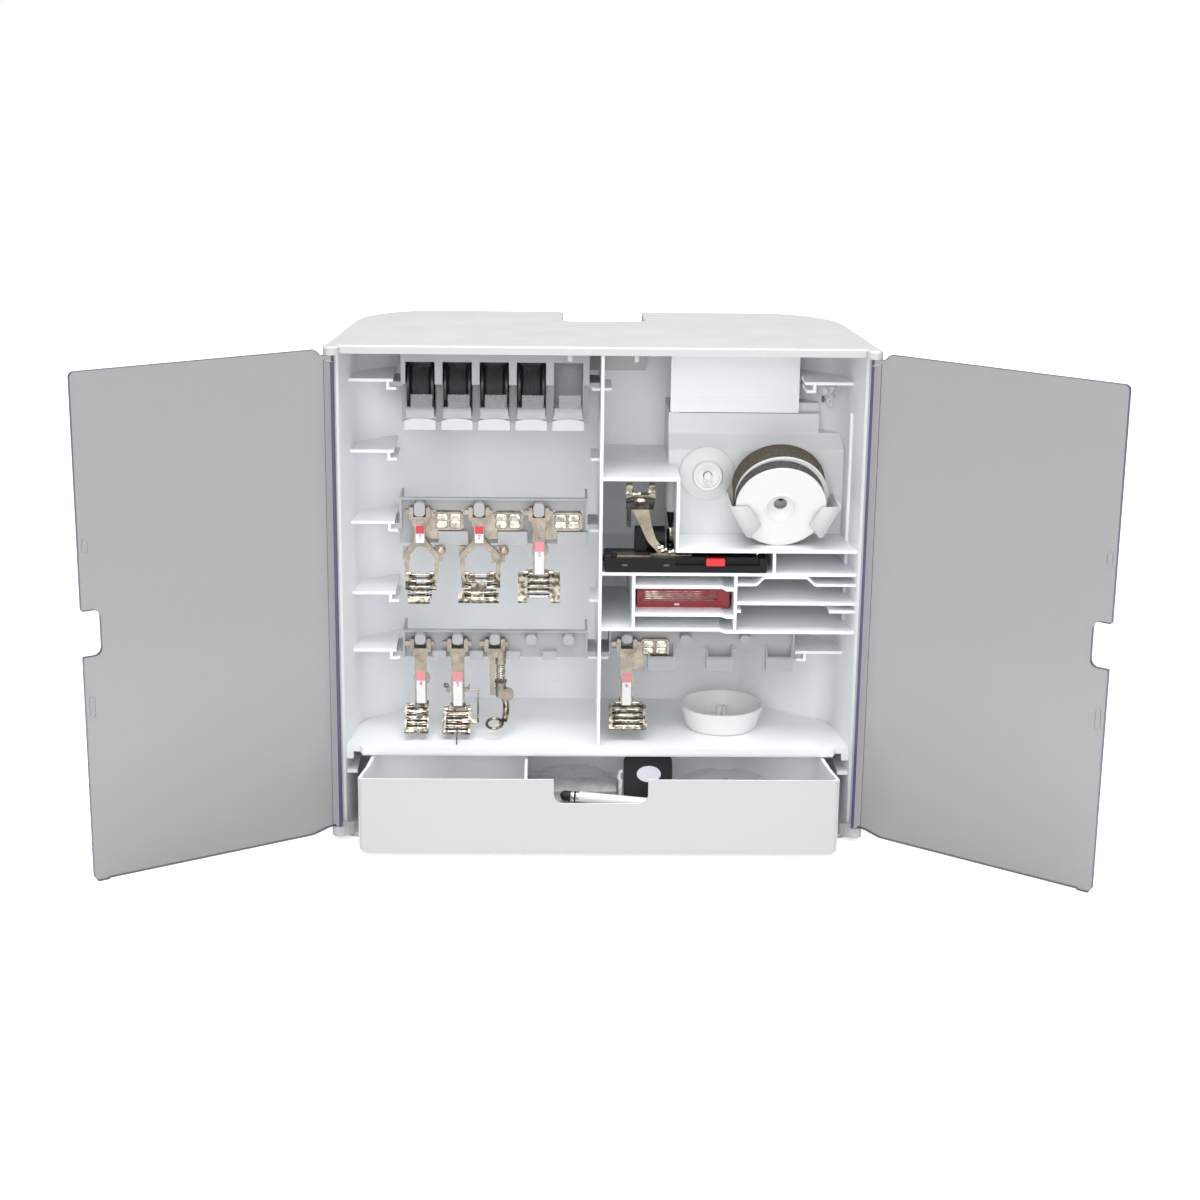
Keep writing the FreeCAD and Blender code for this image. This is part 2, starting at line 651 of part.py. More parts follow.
def biarc_edges(start, start_dir, end, end_dir):
    # Two arcs that join smoothly and keep both end directions.
    chord = end - start
    both = start_dir + end_dir
    spread = 2 * (1 - start_dir.dot(end_dir))
    reach = chord.dot(both)
    if spread < 1e-9:
        length = chord.dot(chord) / (2 * reach)
    else:
        length = (-reach + math.sqrt(reach * reach + spread * chord.dot(chord))) / spread
    joint = ((start + start_dir * length) + (end - end_dir * length)) * 0.5
    return [arc_along(start, start_dir, joint, 1), arc_along(end, end_dir * -1, joint, -1)]


def arc_along(start, direction, end, sense):
    # Arc that leaves the start in the given direction and ends at the end point.
    chord = end - start
    along = FreeCAD.Vector(chord).normalize()
    sideways = direction - along * direction.dot(along)
    angle = math.acos(max(-1, min(1, direction.dot(along))))
    sideways.normalize()
    middle = (start + end) * 0.5 + sideways * (chord.Length / 2 * math.tan(angle / 2))
    if sense > 0:
        return Part.Arc(start, middle, end).toShape()
    return Part.Arc(end, middle, start).toShape()


def coil(name, centre, axis, across, radius, pitch, turns, wire_radius):
    # One unbroken round wire wound round the axis, from its start point on the across side.
    across = FreeCAD.Vector(*across)
    axis = FreeCAD.Vector(*axis)
    third = axis.cross(across)

    def point(angle):
        ring = across * math.cos(angle) + third * math.sin(angle)
        return centre + ring * radius + axis * (pitch * angle / (2 * math.pi))

    def heading(angle):
        ring = third * math.cos(angle) - across * math.sin(angle)
        return (ring * radius + axis * (pitch / (2 * math.pi))).normalize()

    edges = []
    for i in range(int(turns * 2)):
        here = i * math.pi
        after = here + math.pi
        edges += biarc_edges(point(here), heading(here), point(after), heading(after))
    path = Part.Wire(edges)
    ring = Part.Wire([Part.makeCircle(wire_radius, point(0), heading(0))])
    tube = path.makePipeShell([ring], True, False)
    places = path.discretize(int(turns * 48))
    apart = 30
    gap = min(
        places[i].distanceToPoint(places[j])
        for i in range(len(places))
        for j in range(i + apart, min(i + 2 * apart, len(places)))
    )
    print("%s: least gap of the wire to itself %.2f mm" % (name, gap - 2 * wire_radius))
    return tube


# Bobbins and their holder


def slot_middle(k):
    return SLOT_LEFT + SLOT_WIDTH / 2 + SLOT_PITCH * k


def make_bobbin_holder():
    left = SLOT_LEFT - 2.7
    right = SLOT_LEFT + SLOT_PITCH * (SLOT_COUNT - 1) + SLOT_WIDTH + 3.8
    profile = [(30, 297), (30, 277, 1), (42, 277), (42, 252), (62, 252), (62, 297)]
    body = side_prism(profile, (left, right))
    for k in range(SLOT_COUNT):
        x = SLOT_LEFT + SLOT_PITCH * k
        body = body.cut(block((x, x + SLOT_WIDTH), (20, 60), (240, 291)))
    pin_bore = rod(left + 1, KEY_PIVOT_Y, KEY_PIVOT_Z, 1.05, right - left - 2, (1, 0, 0))
    body = body.cut(pin_bore)
    z = ROW_HEIGHTS[0]
    left_lug = block((-HOOK_X + 2.0, left + 1), (LUG_FRONT, 60), (z - 4.1, z - 1.1))
    right_lug = block((right - 1, -1.2), (LUG_FRONT, 60), (z - 4.1, z - 1.1))
    save("bobbin_holder", join(body, left_lug, right_lug))


def make_spring_key(k):
    x = slot_middle(k)
    half = SLOT_WIDTH / 2 - 0.3
    floor = block((x - half, x + half), (28.0, KEY_PIVOT_Y), (KEY_PIVOT_Z - 1.6, KEY_PIVOT_Z + 0.8))
    hub = rod(x - half, KEY_PIVOT_Y, KEY_PIVOT_Z, 1.6, 2 * half, (1, 0, 0))
    pin = rod(x - half - 1.0, KEY_PIVOT_Y, KEY_PIVOT_Z, 1.0, 2 * half + 2, (1, 0, 0))
    tongue = join(
        block((x - 8.3, x + 8.3), (27.7, 28.9), (KEY_PIVOT_Z - 1.5, 264)),
        block((x - 5.6, x + 7.4), (27.7, 28.9), (KEY_PIVOT_Z - 1.5, 271.6)),
    )
    lip = block((x - LIP_HALF, x + LIP_HALF), (25.6, 30.2), (250.6, 258.5))
    lip = lip.common(rod(x, 25, 257.6 - LIP_ARC, LIP_ARC, 8, (0, 1, 0)))
    save("spring_key_%d" % (k + 1), join(floor, hub, pin, tongue, lip))


def make_bobbin(k):
    x = slot_middle(k) - BOBBIN_WIDTH / 2
    drum = rod(x, BOBBIN_Y, BOBBIN_Z, DRUM_RADIUS, BOBBIN_WIDTH, (1, 0, 0))
    flanges = [
        rod(x, BOBBIN_Y, BOBBIN_Z, BOBBIN_RADIUS, FLANGE_WALL, (1, 0, 0)),
        rod(x + BOBBIN_WIDTH - FLANGE_WALL, BOBBIN_Y, BOBBIN_Z, BOBBIN_RADIUS, FLANGE_WALL, (1, 0, 0)),
    ]
    bobbin = join(drum, *flanges)
    bobbin = bobbin.cut(rod(x - 1, BOBBIN_Y, BOBBIN_Z, 3.0, BOBBIN_WIDTH + 2, (1, 0, 0)))
    save("bobbin_%d" % (k + 1), bobbin)
    free = BOBBIN_WIDTH - 2 * FLANGE_WALL - 2 * THREAD_RADIUS - 0.5
    pitch = free / THREAD_TURNS
    centre = FreeCAD.Vector(slot_middle(k) - free / 2, FRONT + BOBBIN_Y, BOBBIN_Z)
    name = "thread_%d" % (k + 1)
    turn_radius = DRUM_RADIUS + THREAD_RADIUS + 0.04
    tube = coil(name, centre, (1, 0, 0), (0, 0, 1), turn_radius, pitch, THREAD_TURNS, THREAD_RADIUS)
    save(name, tube)


# Presser foot holders


def holder_frame(x, z, row, left_reach, right_reach):
    # Back plate with a small rim, two cheeks and the lugs that sit in the clip brackets.
    plate = block(x, (36, 37.6), z)
    rim = block(x, (LUG_FRONT, 37), (z[1] - 1.2, z[1]))
    ends = [
        block((x[0], x[0] + 1.4), (LUG_FRONT, 60), (row - 5, z[1])),
        block((x[1] - 1.4, x[1]), (LUG_FRONT, 60), (row - 5, z[1])),
    ]
    lugs = [
        block((left_reach, x[0] + 1), (LUG_FRONT, 60), (row - 4.1, row - 1.1)),
        block((x[1] - 1, right_reach), (LUG_FRONT, 60), (row - 4.1, row - 1.1)),
    ]
    return [plate, rim] + ends + lugs


def holder_peg(x, z, tall=8.6):
    return rounded_block((x - 3.3, x + 3.3), (27.5, 37), (z + 8.6 - tall, z + 8.6), 2.4)


def make_foot_holders():
    row = ROW_HEIGHTS[2]
    pieces = holder_frame((-122.2, -7.6), (177.9, 206.6), row, -HOOK_X + 2.0, -1.2)
    for x in UPPER_PEGS:
        pieces.append(holder_peg(x, UPPER_PEG_Z))
        pieces.append(block((x + 11.2, x + 29.3), (30.7, 37), (177.9, 186.4)))
    upper = pieces[0].fuse(pieces[1:]).removeSplitter()
    for x in UPPER_PEGS:
        upper = upper.cut(rounded_block((x + 8.2, x + 26.6), (33, 40), (186.5, 198.7), 1.0))
    save("foot_holder_upper", upper)

    row = ROW_HEIGHTS[4]
    pieces = holder_frame((-121.0, -6.7), (105.0, 122.5), row, -HOOK_X + 2.0, -1.2)
    for x in LOWER_PEGS:
        pieces.append(holder_peg(x, LOWER_PEG_Z, 6.4))
    for before, after in zip(LOWER_PEGS, LOWER_PEGS[1:]):
        middle = (before + after) / 2
        pieces.append(block((middle - 4.2, middle + 4.2), (30.5, 37), (105.0, 110.2)))
    save("foot_holder_lower", pieces[0].fuse(pieces[1:]).removeSplitter())

    pieces = holder_frame((6.6, 122.0), (111.0, 123.3), row, 1.2, HOOK_X - 2.0)
    for x in RIGHT_PEGS:
        pieces.append(holder_peg(x, RIGHT_PEG_Z, 5.4))
        cup = side_prism([(28.5, 98.6), (37.6, 98.6), (37.6, 115), (36.6, 115), (28.5, 106.4)], (x + 13.2, x + 29.9))
        cup = cup.cut(block((x + 14.4, x + 28.7), (29.7, 36.0), (99.8, 120)))
        if x == RIGHT_PEGS[0]:
            cup = cup.cut(block((x + 8.2, x + 26.5), (31.7, 36.1), (106.6, 120)))
        pieces.append(cup)
    save("foot_holder_right", pieces[0].fuse(pieces[1:]).removeSplitter())


# Presser feet


def foot_head(x, z):
    # Clamp head around a holder peg whose underside is at height z.
    ears = [
        rounded_block((x - 6.4, x - 3.8), (28.5, 34.5), (z - 3, z + 5.6), 1.1),
        rounded_block((x + 3.8, x + 6.4), (28.5, 34.5), (z - 3, z + 5.6), 1.1),
        rounded_block((x - 9.6, x - 6.0), (30, 33), (z + 0.6, z + 3.6), 1.2),
        rounded_block((x + 6.0, x + 8.4), (30, 33), (z + 0.6, z + 3.6), 1.1),
    ]
    collar = rounded_block((x - 4.6, x + 4.6), (27.8, 34), (z - 6.2, z - 0.4), 1.0)
    return ears + [collar]


def sensor_plate(x, z, lift=0.0, back=39.0):
    # Bright rounded block beside the peg, with its arm and bracket.
    low = z - 9.5 + lift
    high = z + 1.7 + lift
    lens = rounded_block((x + 8.5, x + 26.2), (32.0, back), (low, high), 2.6)
    for left in (x + 9.7, x + 17.7):
        lens = lens.cut(rounded_block((left, left + 7.3), (31, 32.8), (low + 1.1, high - 1.0), 1.4))
    arm = block((x + 3.5, x + 9.4), (32.0, 34.0), (low + 1.0, z + 0.8))
    bracket = block((x + 3.0, x + 11.0), (32.0, 34.0), (z - 15.0, low + 1.5))
    return [lens, arm, bracket]


def tilted_sole(x, z, parts):
    # Sole parts (left, right, start, end, thickness, rise) that lean forward and down from the ankle.
    solids = []
    for left, right, start, end, thick, rise in parts:
        solids.append(block((x + left, x + right), (SOLE_Y - end, SOLE_Y - start), (z - thick, z + rise)))
    return turned(solids[0].fuse(solids[1:]), x, SOLE_Y, z, (1, 0, 0), SOLE_TILT)


def two_leg_frame(x, top, bottom, half, shift):
    # Forked stem whose legs stand a little to one side of it.
    def leg(side, reach, z, radius=0):
        return (x + shift + side * reach, z, radius)

    outer = [
        (x - 3.2, top), (x - 3.2, top - 9, 4), leg(-1, half, top - 19, 5), leg(-1, half - 0.8, bottom),
        leg(1, half - 0.8, bottom), leg(1, half, top - 19, 5), (x + 3.2, top - 9, 4), (x + 3.2, top),
    ]
    inner_half = half - 3.0
    inner = [
        leg(-1, inner_half, bottom - 1), leg(-1, inner_half, top - 20.5, 5), (x - 1.8, top - 13.5, 3),
        (x + 2.2, top - 13.5, 3), leg(1, inner_half, top - 20.5, 5), leg(1, inner_half, bottom - 1),
    ]
    return front_prism(outer, LEG_LAYER).cut(front_prism(inner, (20, 40)))


def forked_foot(name, x, half, shift, plates, screw_x, sole):
    # Foot with two legs, plates behind them and a screw on the right plate.
    z = UPPER_PEG_Z
    pieces = foot_head(x, z) + sensor_plate(x, z)
    pieces.append(two_leg_frame(x, z - 5, 157.5, half, shift))
    for left, right, low, high in plates:
        pieces.append(rounded_block((x + left, x + right), (30.3, 31.8), (low, high), 1.0))
    pieces.append(rod(x + screw_x, 27.2, 175.4, 3.0, 3.3, (0, 1, 0)))
    finish_foot(name, pieces + [tilted_sole(x, 160, sole)])


def stem_with_disc(x, top, bottom, disc_x, disc_z, radius):
    # Plain stem with a round boss behind it.
    stem = rounded_block((x - 3.7, x + 3.7), LEG_LAYER, (bottom, top), 1.0)
    return [stem, rod(disc_x, LEG_LAYER[1] - 0.1, disc_z, radius, 2.4, (0, 1, 0))]


def finish_foot(name, pieces):
    save(name, pieces[0].fuse(pieces[1:]).removeSplitter())


def make_upper_feet():
    forked_foot(
        "foot_1", UPPER_PEGS[0], 10.8, 1.0, [(-10.6, -6.2, 168.2, 176.6), (8.4, 13.6, 167.6, 177.6)], 13.0,
        [
            (-8.8, -2.2, 0.5, 7.5, 2.4, 0.8), (3.6, 10.0, 0.5, 7.5, 2.4, 0.8), (-8.8, -6.9, 7, 10.5, 1.8, 0),
            (8.4, 10.2, 7, 10.5, 1.8, 0), (-8.8, 10.2, 9.0, 11.5, 1.6, 0), (-2.4, 3.4, 10.5, 15.5, 1.4, 0.6),
            (-5.0, -3.6, 11, 18.5, 1.0, 0), (4.2, 5.6, 11, 18.5, 1.0, 0), (-6.9, 6.4, 17.6, 21.5, 2.0, 0.4),
        ],
    )
    forked_foot(
        "foot_2", UPPER_PEGS[1], 12.5, 0.6, [(-12.5, -7.5, 170.0, 177.6), (7.5, 15.6, 167.0, 177.6)], 15.2,
        [
            (-8.1, -2.5, 0.5, 6.6, 2.4, 0.8), (4.4, 10.6, 0.5, 6.6, 2.4, 0.8), (-10.6, -8.0, -0.5, 8.5, 1.6, 0.3),
            (10.5, 12.8, -0.5, 8.5, 1.6, 0.3), (-10.6, 12.8, 6.4, 9.4, 1.6, 0), (-5.0, 4.6, 6.8, 13.2, 1.4, 1.2),
            (-9.5, -6.5, 9, 15, 1.4, 0.4), (7, 10.5, 9, 15, 1.4, 0.4), (-12.5, 12.2, 14.2, 18.0, 1.6, 0),
            (-12.5, -5.0, 17.5, 20.5, 2.2, 0.2), (3.6, 12.2, 17.5, 20.5, 2.2, 0.2), (-4.6, 3.2, 13.0, 20.5, 2.4, 0.9),
        ],
    )
    x = UPPER_PEGS[2]
    z = UPPER_PEG_Z
    sole = tilted_sole(x, 161, [
        (-5.2, 5.4, -2, 7.4, 3.4, 0.4), (-12.5, -7.1, 0, 21.5, 2.0, 0), (7.1, 13.1, 0, 21.5, 2.0, 0),
        (-7.8, -5.0, -1.5, 3, 1.6, 0.6), (5.2, 8.4, -1.5, 3, 1.6, 0.6), (-7.3, 7.3, 8.6, 10.2, 1.4, 0.3),
        (-6.6, 7.0, 11.6, 13.4, 1.6, 0.2), (-6.6, -5.0, 3, 13.4, 1.4, 0.2), (5.2, 7.0, 3, 13.4, 1.4, 0.2),
    ])
    pieces = foot_head(x, z) + sensor_plate(x, z) + stem_with_disc(x, z - 5, 158, x + 1.0, 174.9, 5.0)
    finish_foot("foot_3", pieces + [sole])


def make_lower_feet():
    z = LOWER_PEG_Z
    x = LOWER_PEGS[0]
    sole = tilted_sole(x, 76, [
        (-9.6, -4.0, 0, 21, 1.6, 0), (-2.6, 1.1, -3, 8, 3.0, 0.8), (1.0, 4.8, -2, 8.5, 2.4, 0.2),
        (-4.4, 4.8, 7.6, 12.5, 2.2, 0.3), (-6.0, -2.0, 12, 20, 2.2, 0.3), (-0.6, 5.0, 12, 20.5, 2.6, 0),
    ])
    finish_foot("foot_4", foot_head(x, z) + stem_with_disc(x, z - 5, 72, x + 0.6, 92.4, 5.0) + [sole])

    x = LOWER_PEGS[1]
    sole = tilted_sole(x, 74, [
        (-4.8, 4.6, -3, 5, 4.0, 0.4), (-8.9, -5.1, -0.5, 7, 2.2, 0.5), (5.0, 8.1, -0.5, 7, 2.2, 0.5),
        (-8.6, 8.0, 6.4, 9.4, 1.8, 0), (-4.9, 4.9, 4, 7, 2.0, 0), (-9.4, -2.3, 9.2, 19, 2.4, 0),
        (1.9, 7.8, 9.2, 19, 2.4, 0), (-2.4, 2.0, 9, 12.4, 2.0, 0), (1.5, 12.1, 9.5, 12.6, 0.2, 0.7),
    ])
    stem = [rounded_block((x - 4.1, x + 4.1), LEG_LAYER, (70, z - 5), 1.0)]
    stem.append(rounded_block((x - 7.4, x + 6.6), (28.4, 30.0), (84, 87.2), 1.4))
    guide = [
        rod(x + 5.8, 29.2, 85.6, 0.5, 7.2, (1, 0, 0)),
        rod(x + 12.6, 29.2, 86.1, 0.5, 21, (0, -0.32, -0.947)),
        rod(x - 0.2, 23.0, 66.9, 0.4, 18.1, (0, -0.842, -0.539)),
    ]
    finish_foot("foot_5", foot_head(x, z) + stem + guide + [sole])


def make_right_foot():
    z = RIGHT_PEG_Z
    x = RIGHT_PEGS[0]
    sole = tilted_sole(x, 78, [
        (-4.4, 4.4, -3, 6, 4.0, 0.3), (-10.8, 12.4, 2, 20, 2.0, 0), (-7, 8, 4, 12, 3.4, 0.3),
        (-9.5, 11, 13.6, 15.2, 1.0, 0.6),
    ])
    pieces = foot_head(x, z) + sensor_plate(x, z, 2.9, 35.8) + stem_with_disc(x, z - 5, 74, x + 0.4, 92, 4.9)
    finish_foot("foot_7", pieces + [sole])


def make_darning_foot():
    z = LOWER_PEG_Z
    x = LOWER_PEGS[2]
    spring_x = x + 3.6
    spine = front_prism([(x - 3.4, z - 5), (x + 0.4, z - 5), (x - 0.2, 82), (x - 3.0, 82)], (29.4, 31.4))
    pieces = foot_head(x, z) + [
        spine,
        rod(spring_x, 30.4, 102.2, 3.2, 9.0, (0, 0, 1)),
        rod(spring_x, 30.4, 90.0, 0.9, 13, (0, 0, 1)),
        rod(spring_x, 30.4, 81.0, 3.3, 10.4, (0, 0, 1)),
        block((x - 3.0, spring_x), (29.4, 31.4), (82, 86)),
        rod(spring_x + 4.2, 27.4, 83.0, 4.0, 2.4, (0, 1, 0)),
        block((spring_x, spring_x + 5), (28.5, 31), (81.5, 84.5)),
    ]
    bend = [
        FreeCAD.Vector(spring_x + 1.6, FRONT + 30.4, 82.5),
        FreeCAD.Vector(spring_x + 3.4, FRONT + 28.6, 73.5),
        FreeCAD.Vector(spring_x + 2.2, FRONT + 25.0, 66.8),
    ]
    leg_path = Part.Wire([Part.Arc(*bend).toShape()])
    start_ring = Part.Wire([Part.makeCircle(2.0, bend[0], bend[1] - bend[0])])
    pieces.append(leg_path.makePipeShell([start_ring], True, False))
    ring_x = spring_x - 3.6
    ring = Part.makeTorus(4.9, 0.9, FreeCAD.Vector(ring_x, FRONT + 21.5, 66.0), FreeCAD.Vector(0, -0.35, 0.937))
    pieces.append(ring)
    link_start = FreeCAD.Vector(spring_x + 2.4, FRONT + 25.2, 67.2)
    link = Part.makeCylinder(1.3, 4.2, link_start, FreeCAD.Vector(-0.66, -0.70, -0.27))
    pieces.append(link)
    finish_foot("foot_6", pieces)
    free = 102.2 - 91.4
    wire = 0.32
    turns = 8
    pitch = (free - 2 * wire - 0.4) / turns
    centre = FreeCAD.Vector(spring_x, FRONT + 30.4, 91.4 + wire + 0.2)
    spring = coil("darning_spring", centre, (0, 0, 1), (0, -1, 0), 2.6, pitch, turns, wire)
    save("darning_spring", spring)


# Things in the right-hand compartments


def make_sledge():
    front = 6.8
    top = SHELF_C + 0.9 + 9.0
    bottom = SHELF_C + 0.95
    body = rounded_block((2.4, 100.5), (front, 30), (bottom, top), 1.5)
    body = body.cut(block((26, 78), (14, 24), (bottom + 2.5, top + 1)))
    body = body.cut(block((45, 96), (front - 1, front + 2.6), (bottom + 4.4, top + 1)))
    save("sledge_frame", body)
    z = (bottom + 4.5, bottom + 8.8)
    slider = rounded_block((63.7, 74.9), (front - 1.2, front + 2.4), z, 0.8)
    for k in range(4):
        groove_x = 65.9 + 2.2 * k
        slider = slider.cut(block((groove_x, groove_x + 0.6), (front - 2, front - 0.7), z))
    save("sledge_slider", slider)
    bar = [
        (17.0, 208.5), (28.6, 208.5), (30.0, 198, 30), (33.6, 186, 14), (41.0, top + 1.2), (35.0, top + 1.2),
        (28.4, 185, 14), (23.0, 197, 30),
    ]
    arm = front_prism(bar, (15.0, 17.0))
    head = [
        rounded_block((15.0, 32.6), (12.0, 19.5), (208.0, 214.5), 1.6),
        rounded_block((15.0, 19.0), (12.0, 19.5), (212.0, 220.6), 1.2),
        rounded_block((28.6, 32.6), (12.0, 19.5), (212.0, 220.6), 1.2),
        rod(23.8, 11.0, 211.4, 2.6, 4, (0, 1, 0)),
    ]
    foot = block((33.0, 55.0), (12.6, 19.0), (top + 0.1, top + 1.5))
    plate = block((7.4, 30.0), (9.0, 18.0), (top + 0.1, top + 1.0))
    link = block((29.0, 34.0), (13.0, 18.0), (top + 0.1, top + 1.0))
    save("sledge_arm", join(arm, foot, plate, link, *head))
    wheel_z = top + 7.6
    wheel = rod(28.6, 26.0, wheel_z, 7.4, 10.6, (1, 0, 0)).cut(rod(28, 26.0, wheel_z, 2.0, 12, (1, 0, 0)))
    save("sledge_wheel", wheel)


def make_needle_case():
    floor = 141.4 + 0.9
    case = rounded_block((22.9, 79.4), (20, 36), (floor, floor + 12.2), 1.2)
    case = case.cut(block((24.4, 72.0), (19, 21.2), (floor + 4.6, floor + 10.8)))
    save("needle_case", case)


def make_spool_discs():
    cone = [(2.8, 0.3), (16.5, 0.3), (16.5, 1.8), (9.6, 6.6), (8.4, 10.4), (7.3, 10.4), (7.3, 7.6), (2.8, 7.6)]
    save("cone_disc", lathe(cone, CONE_X, BLOCK_FRONT, CONE_Z, (0, -1, 0)))
    radius = STACK_RADIUS
    funnel = [
        (4.0, 4.4), (8.3, 0.8), (8.9, -0.4), (9.7, -0.4), (10.3, 0.2), (radius, 0.2), (radius, 2.2), (9.5, 2.2),
        (5.2, 5.8), (4.0, 5.8),
    ]
    save("large_disc", lathe(funnel, STACK_X, STACK_Y, STACK_Z, STACK_AXIS))
    save("foam_pad_dark", stack_ring(radius - 0.2, 2.3, 11.3, 9.8))
    save("thin_disc", stack_ring(radius + 0.9, 11.4, 13.2, 3.0, 1.2))
    save("foam_pad_olive", stack_ring(radius + 1.2, 13.3, 27.6, 3.0, 0.6))
    dish = [(0, 0), (21.0, 0), (22.4, 1.2), (26.6, 14.9), (25.2, 14.9), (20.8, 1.9), (0, 1.9)]
    x = 78.5
    y = 48.0
    prong = rod(x, y, DECK_TOP + 1.5, 3.4, 11.5, (0, 0, 1))
    prong = prong.cut(block((x - 0.8, x + 0.8), (y - 8, y + 8), (DECK_TOP + 4, DECK_TOP + 14)))
    ring = rod(x, y, DECK_TOP + 1.5, 8.0, 2.0, (0, 0, 1)).cut(rod(x, y, DECK_TOP, 6.8, 6, (0, 0, 1)))
    save("dish_disc", join(lathe(dish, x, y, DECK_TOP, (0, 0, 1)), prong, ring))


# Things in the drawer


def make_drawer_contents():
    floor = DRAWER_BOTTOM + DRAWER_WALL
    case = rounded_block((-42.6, 13.0), (-30, 34), (floor, 26.2), 3.0)
    hollow = rounded_block((-41.4, 11.8), (-28.8, 32.8), (floor + 1.2, 25.0), 2.0)
    save("clear_case", case.cut(hollow))
    direction = FreeCAD.Vector(51, -13, 0).normalize()
    tip = FreeCAD.Vector(-23.2, FRONT - 7.0, 29.75)

    def along(start, length, radius):
        return Part.makeCylinder(radius, length, tip + direction * start, direction)

    rubber = join(along(3.0, 4.0, 3.2), Part.makeSphere(3.2, tip + direction * 3.2))
    save("stylus_tip", rubber)
    ring = along(7.0, 5.4, 3.45).cut(along(9.2, 0.8, 5).cut(along(9.0, 1.2, 3.2)))
    barrel = join(ring, along(12.4, 66.0, 3.45), along(78.4, 6.0, 2.6))
    save("stylus_barrel", barrel)
    card = block((15.6, 46.0), (-12.0, -11.0), (floor, floor + 49))
    save("leaning_card", turned(card, 0, -11.0, floor, (1, 0, 0), -24.0))
    bag = rounded_block((52, 122), (-24, 18), (floor, 34), 9.0)
    bag = bag.common(plan_prism([(52, -24, 14), (122, -24, 14), (122, 18, 14), (52, 18, 14)], (0, 50)))
    save("parts_bag", bag)


def make_small_bag():
    z = ROW_HEIGHTS[0] - 1.0
    bag = rounded_block((129.6, 144.6), (41, 49), (z - 16, z), 4.0)
    save("small_bag", bag)


make_base_plate()
make_housing_shell()
make_inner_liner()
make_top_cover()
make_grip_pocket()
make_deck_plate()
make_centre_divider()
make_compartment_insert()
make_spool_block()
make_flat_panel()
make_rubber_pads()
make_base_screws()
make_doors()
make_drawer()
make_supports()
make_bobbin_holder()
for slot in range(SLOT_COUNT):
    make_spring_key(slot)
for slot in range(BOBBIN_COUNT):
    make_bobbin(slot)
make_foot_holders()
make_upper_feet()
make_lower_feet()
make_darning_foot()
make_right_foot()
make_sledge()
make_needle_case()
make_spool_discs()
make_drawer_contents()
make_small_bag()
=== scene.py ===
import math

import bpy
import numpy as np
from bpy.props import FloatProperty, FloatVectorProperty, IntProperty, PointerProperty
from mathutils import Matrix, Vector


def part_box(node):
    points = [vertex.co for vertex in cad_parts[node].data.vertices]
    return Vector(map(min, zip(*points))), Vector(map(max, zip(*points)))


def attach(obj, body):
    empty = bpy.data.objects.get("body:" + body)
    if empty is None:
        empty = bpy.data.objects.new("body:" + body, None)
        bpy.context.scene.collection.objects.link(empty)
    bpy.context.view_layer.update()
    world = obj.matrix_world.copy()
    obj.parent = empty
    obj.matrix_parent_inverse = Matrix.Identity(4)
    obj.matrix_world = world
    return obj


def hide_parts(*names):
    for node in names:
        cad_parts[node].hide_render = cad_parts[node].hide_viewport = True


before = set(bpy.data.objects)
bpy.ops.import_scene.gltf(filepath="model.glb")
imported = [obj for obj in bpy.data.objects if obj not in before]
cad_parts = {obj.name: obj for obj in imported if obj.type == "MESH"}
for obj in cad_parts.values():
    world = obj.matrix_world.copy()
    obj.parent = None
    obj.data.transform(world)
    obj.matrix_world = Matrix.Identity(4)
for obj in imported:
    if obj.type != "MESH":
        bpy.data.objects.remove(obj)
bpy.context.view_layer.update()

bl_info = {
    "name": "Sewing accessory box",
    "version": (1, 0, 0),
    "blender": (4, 5, 0),
    "location": "3D View > Sidebar > Accessory box",
    "description": "Dresses a sewing accessory box: moulded case, smoked doors, drawer and stored tools",
    "category": "Add Mesh",
}

MM = 0.001
DRAWER_OPENING = 36 * MM
# Depths are counted back from the front plane of the case, which lies behind the open drawer's front.
FRONT = float(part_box("drawer_tray")[0][1]) + DRAWER_OPENING
RIGHT, BACK, TOWARDS, UP = (1, 0, 0), (0, 1, 0), (0, -1, 0), (0, 0, 1)
HINGE_X, HINGE_DEPTH = 158.3, -4.8  # axes of the doors in mm
CORE = 0.02  # radius in mm at which a turned profile ends by its axis, where an end fan closes it


def mm(*lengths):
    return np.array(lengths) * MM


def at(x, depth, z):
    """Point from millimetres to the right, behind the front plane, and up."""
    return mm(x, depth, z) + (0, FRONT, 0)


def node_box(node):
    """Middle and edge lengths of a node's box at rest."""
    low, high = (np.array(corner, dtype=float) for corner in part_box(node))
    return (low + high) / 2, high - low


# Surfaces


def grid_quads(rows, columns, wrap_rows):
    """Quads between neighbouring points of a grid of closed rings, from whole index arrays."""
    index = np.arange(rows * columns).reshape(rows, columns)
    if wrap_rows:
        index = np.vstack([index, index[:1]])
    index = np.hstack([index, index[:, :1]])
    corners = [index[:-1, :-1], index[1:, :-1], index[1:, 1:], index[:-1, 1:]]
    return np.stack(corners, axis=-1).reshape(-1, 4)


def end_fans(rows, columns):
    """Triangles that close the first and last ring round a middle point each."""
    ring = np.arange(columns)
    ahead = np.roll(ring, -1)
    last, centre = (rows - 1) * columns, np.full(columns, rows * columns)
    return np.vstack([
        np.stack([centre, ring, ahead], axis=-1),
        np.stack([centre + 1, last + ahead, last + ring], axis=-1),
    ])


def signed_volume(points, triangles):
    """Sum of the triple products of the triangles' corners: positive where normals point outward."""
    a, b, c = (points[triangles[:, i]] for i in range(3))
    return float(np.einsum("ij,ij->i", a, np.cross(b, c)).sum())


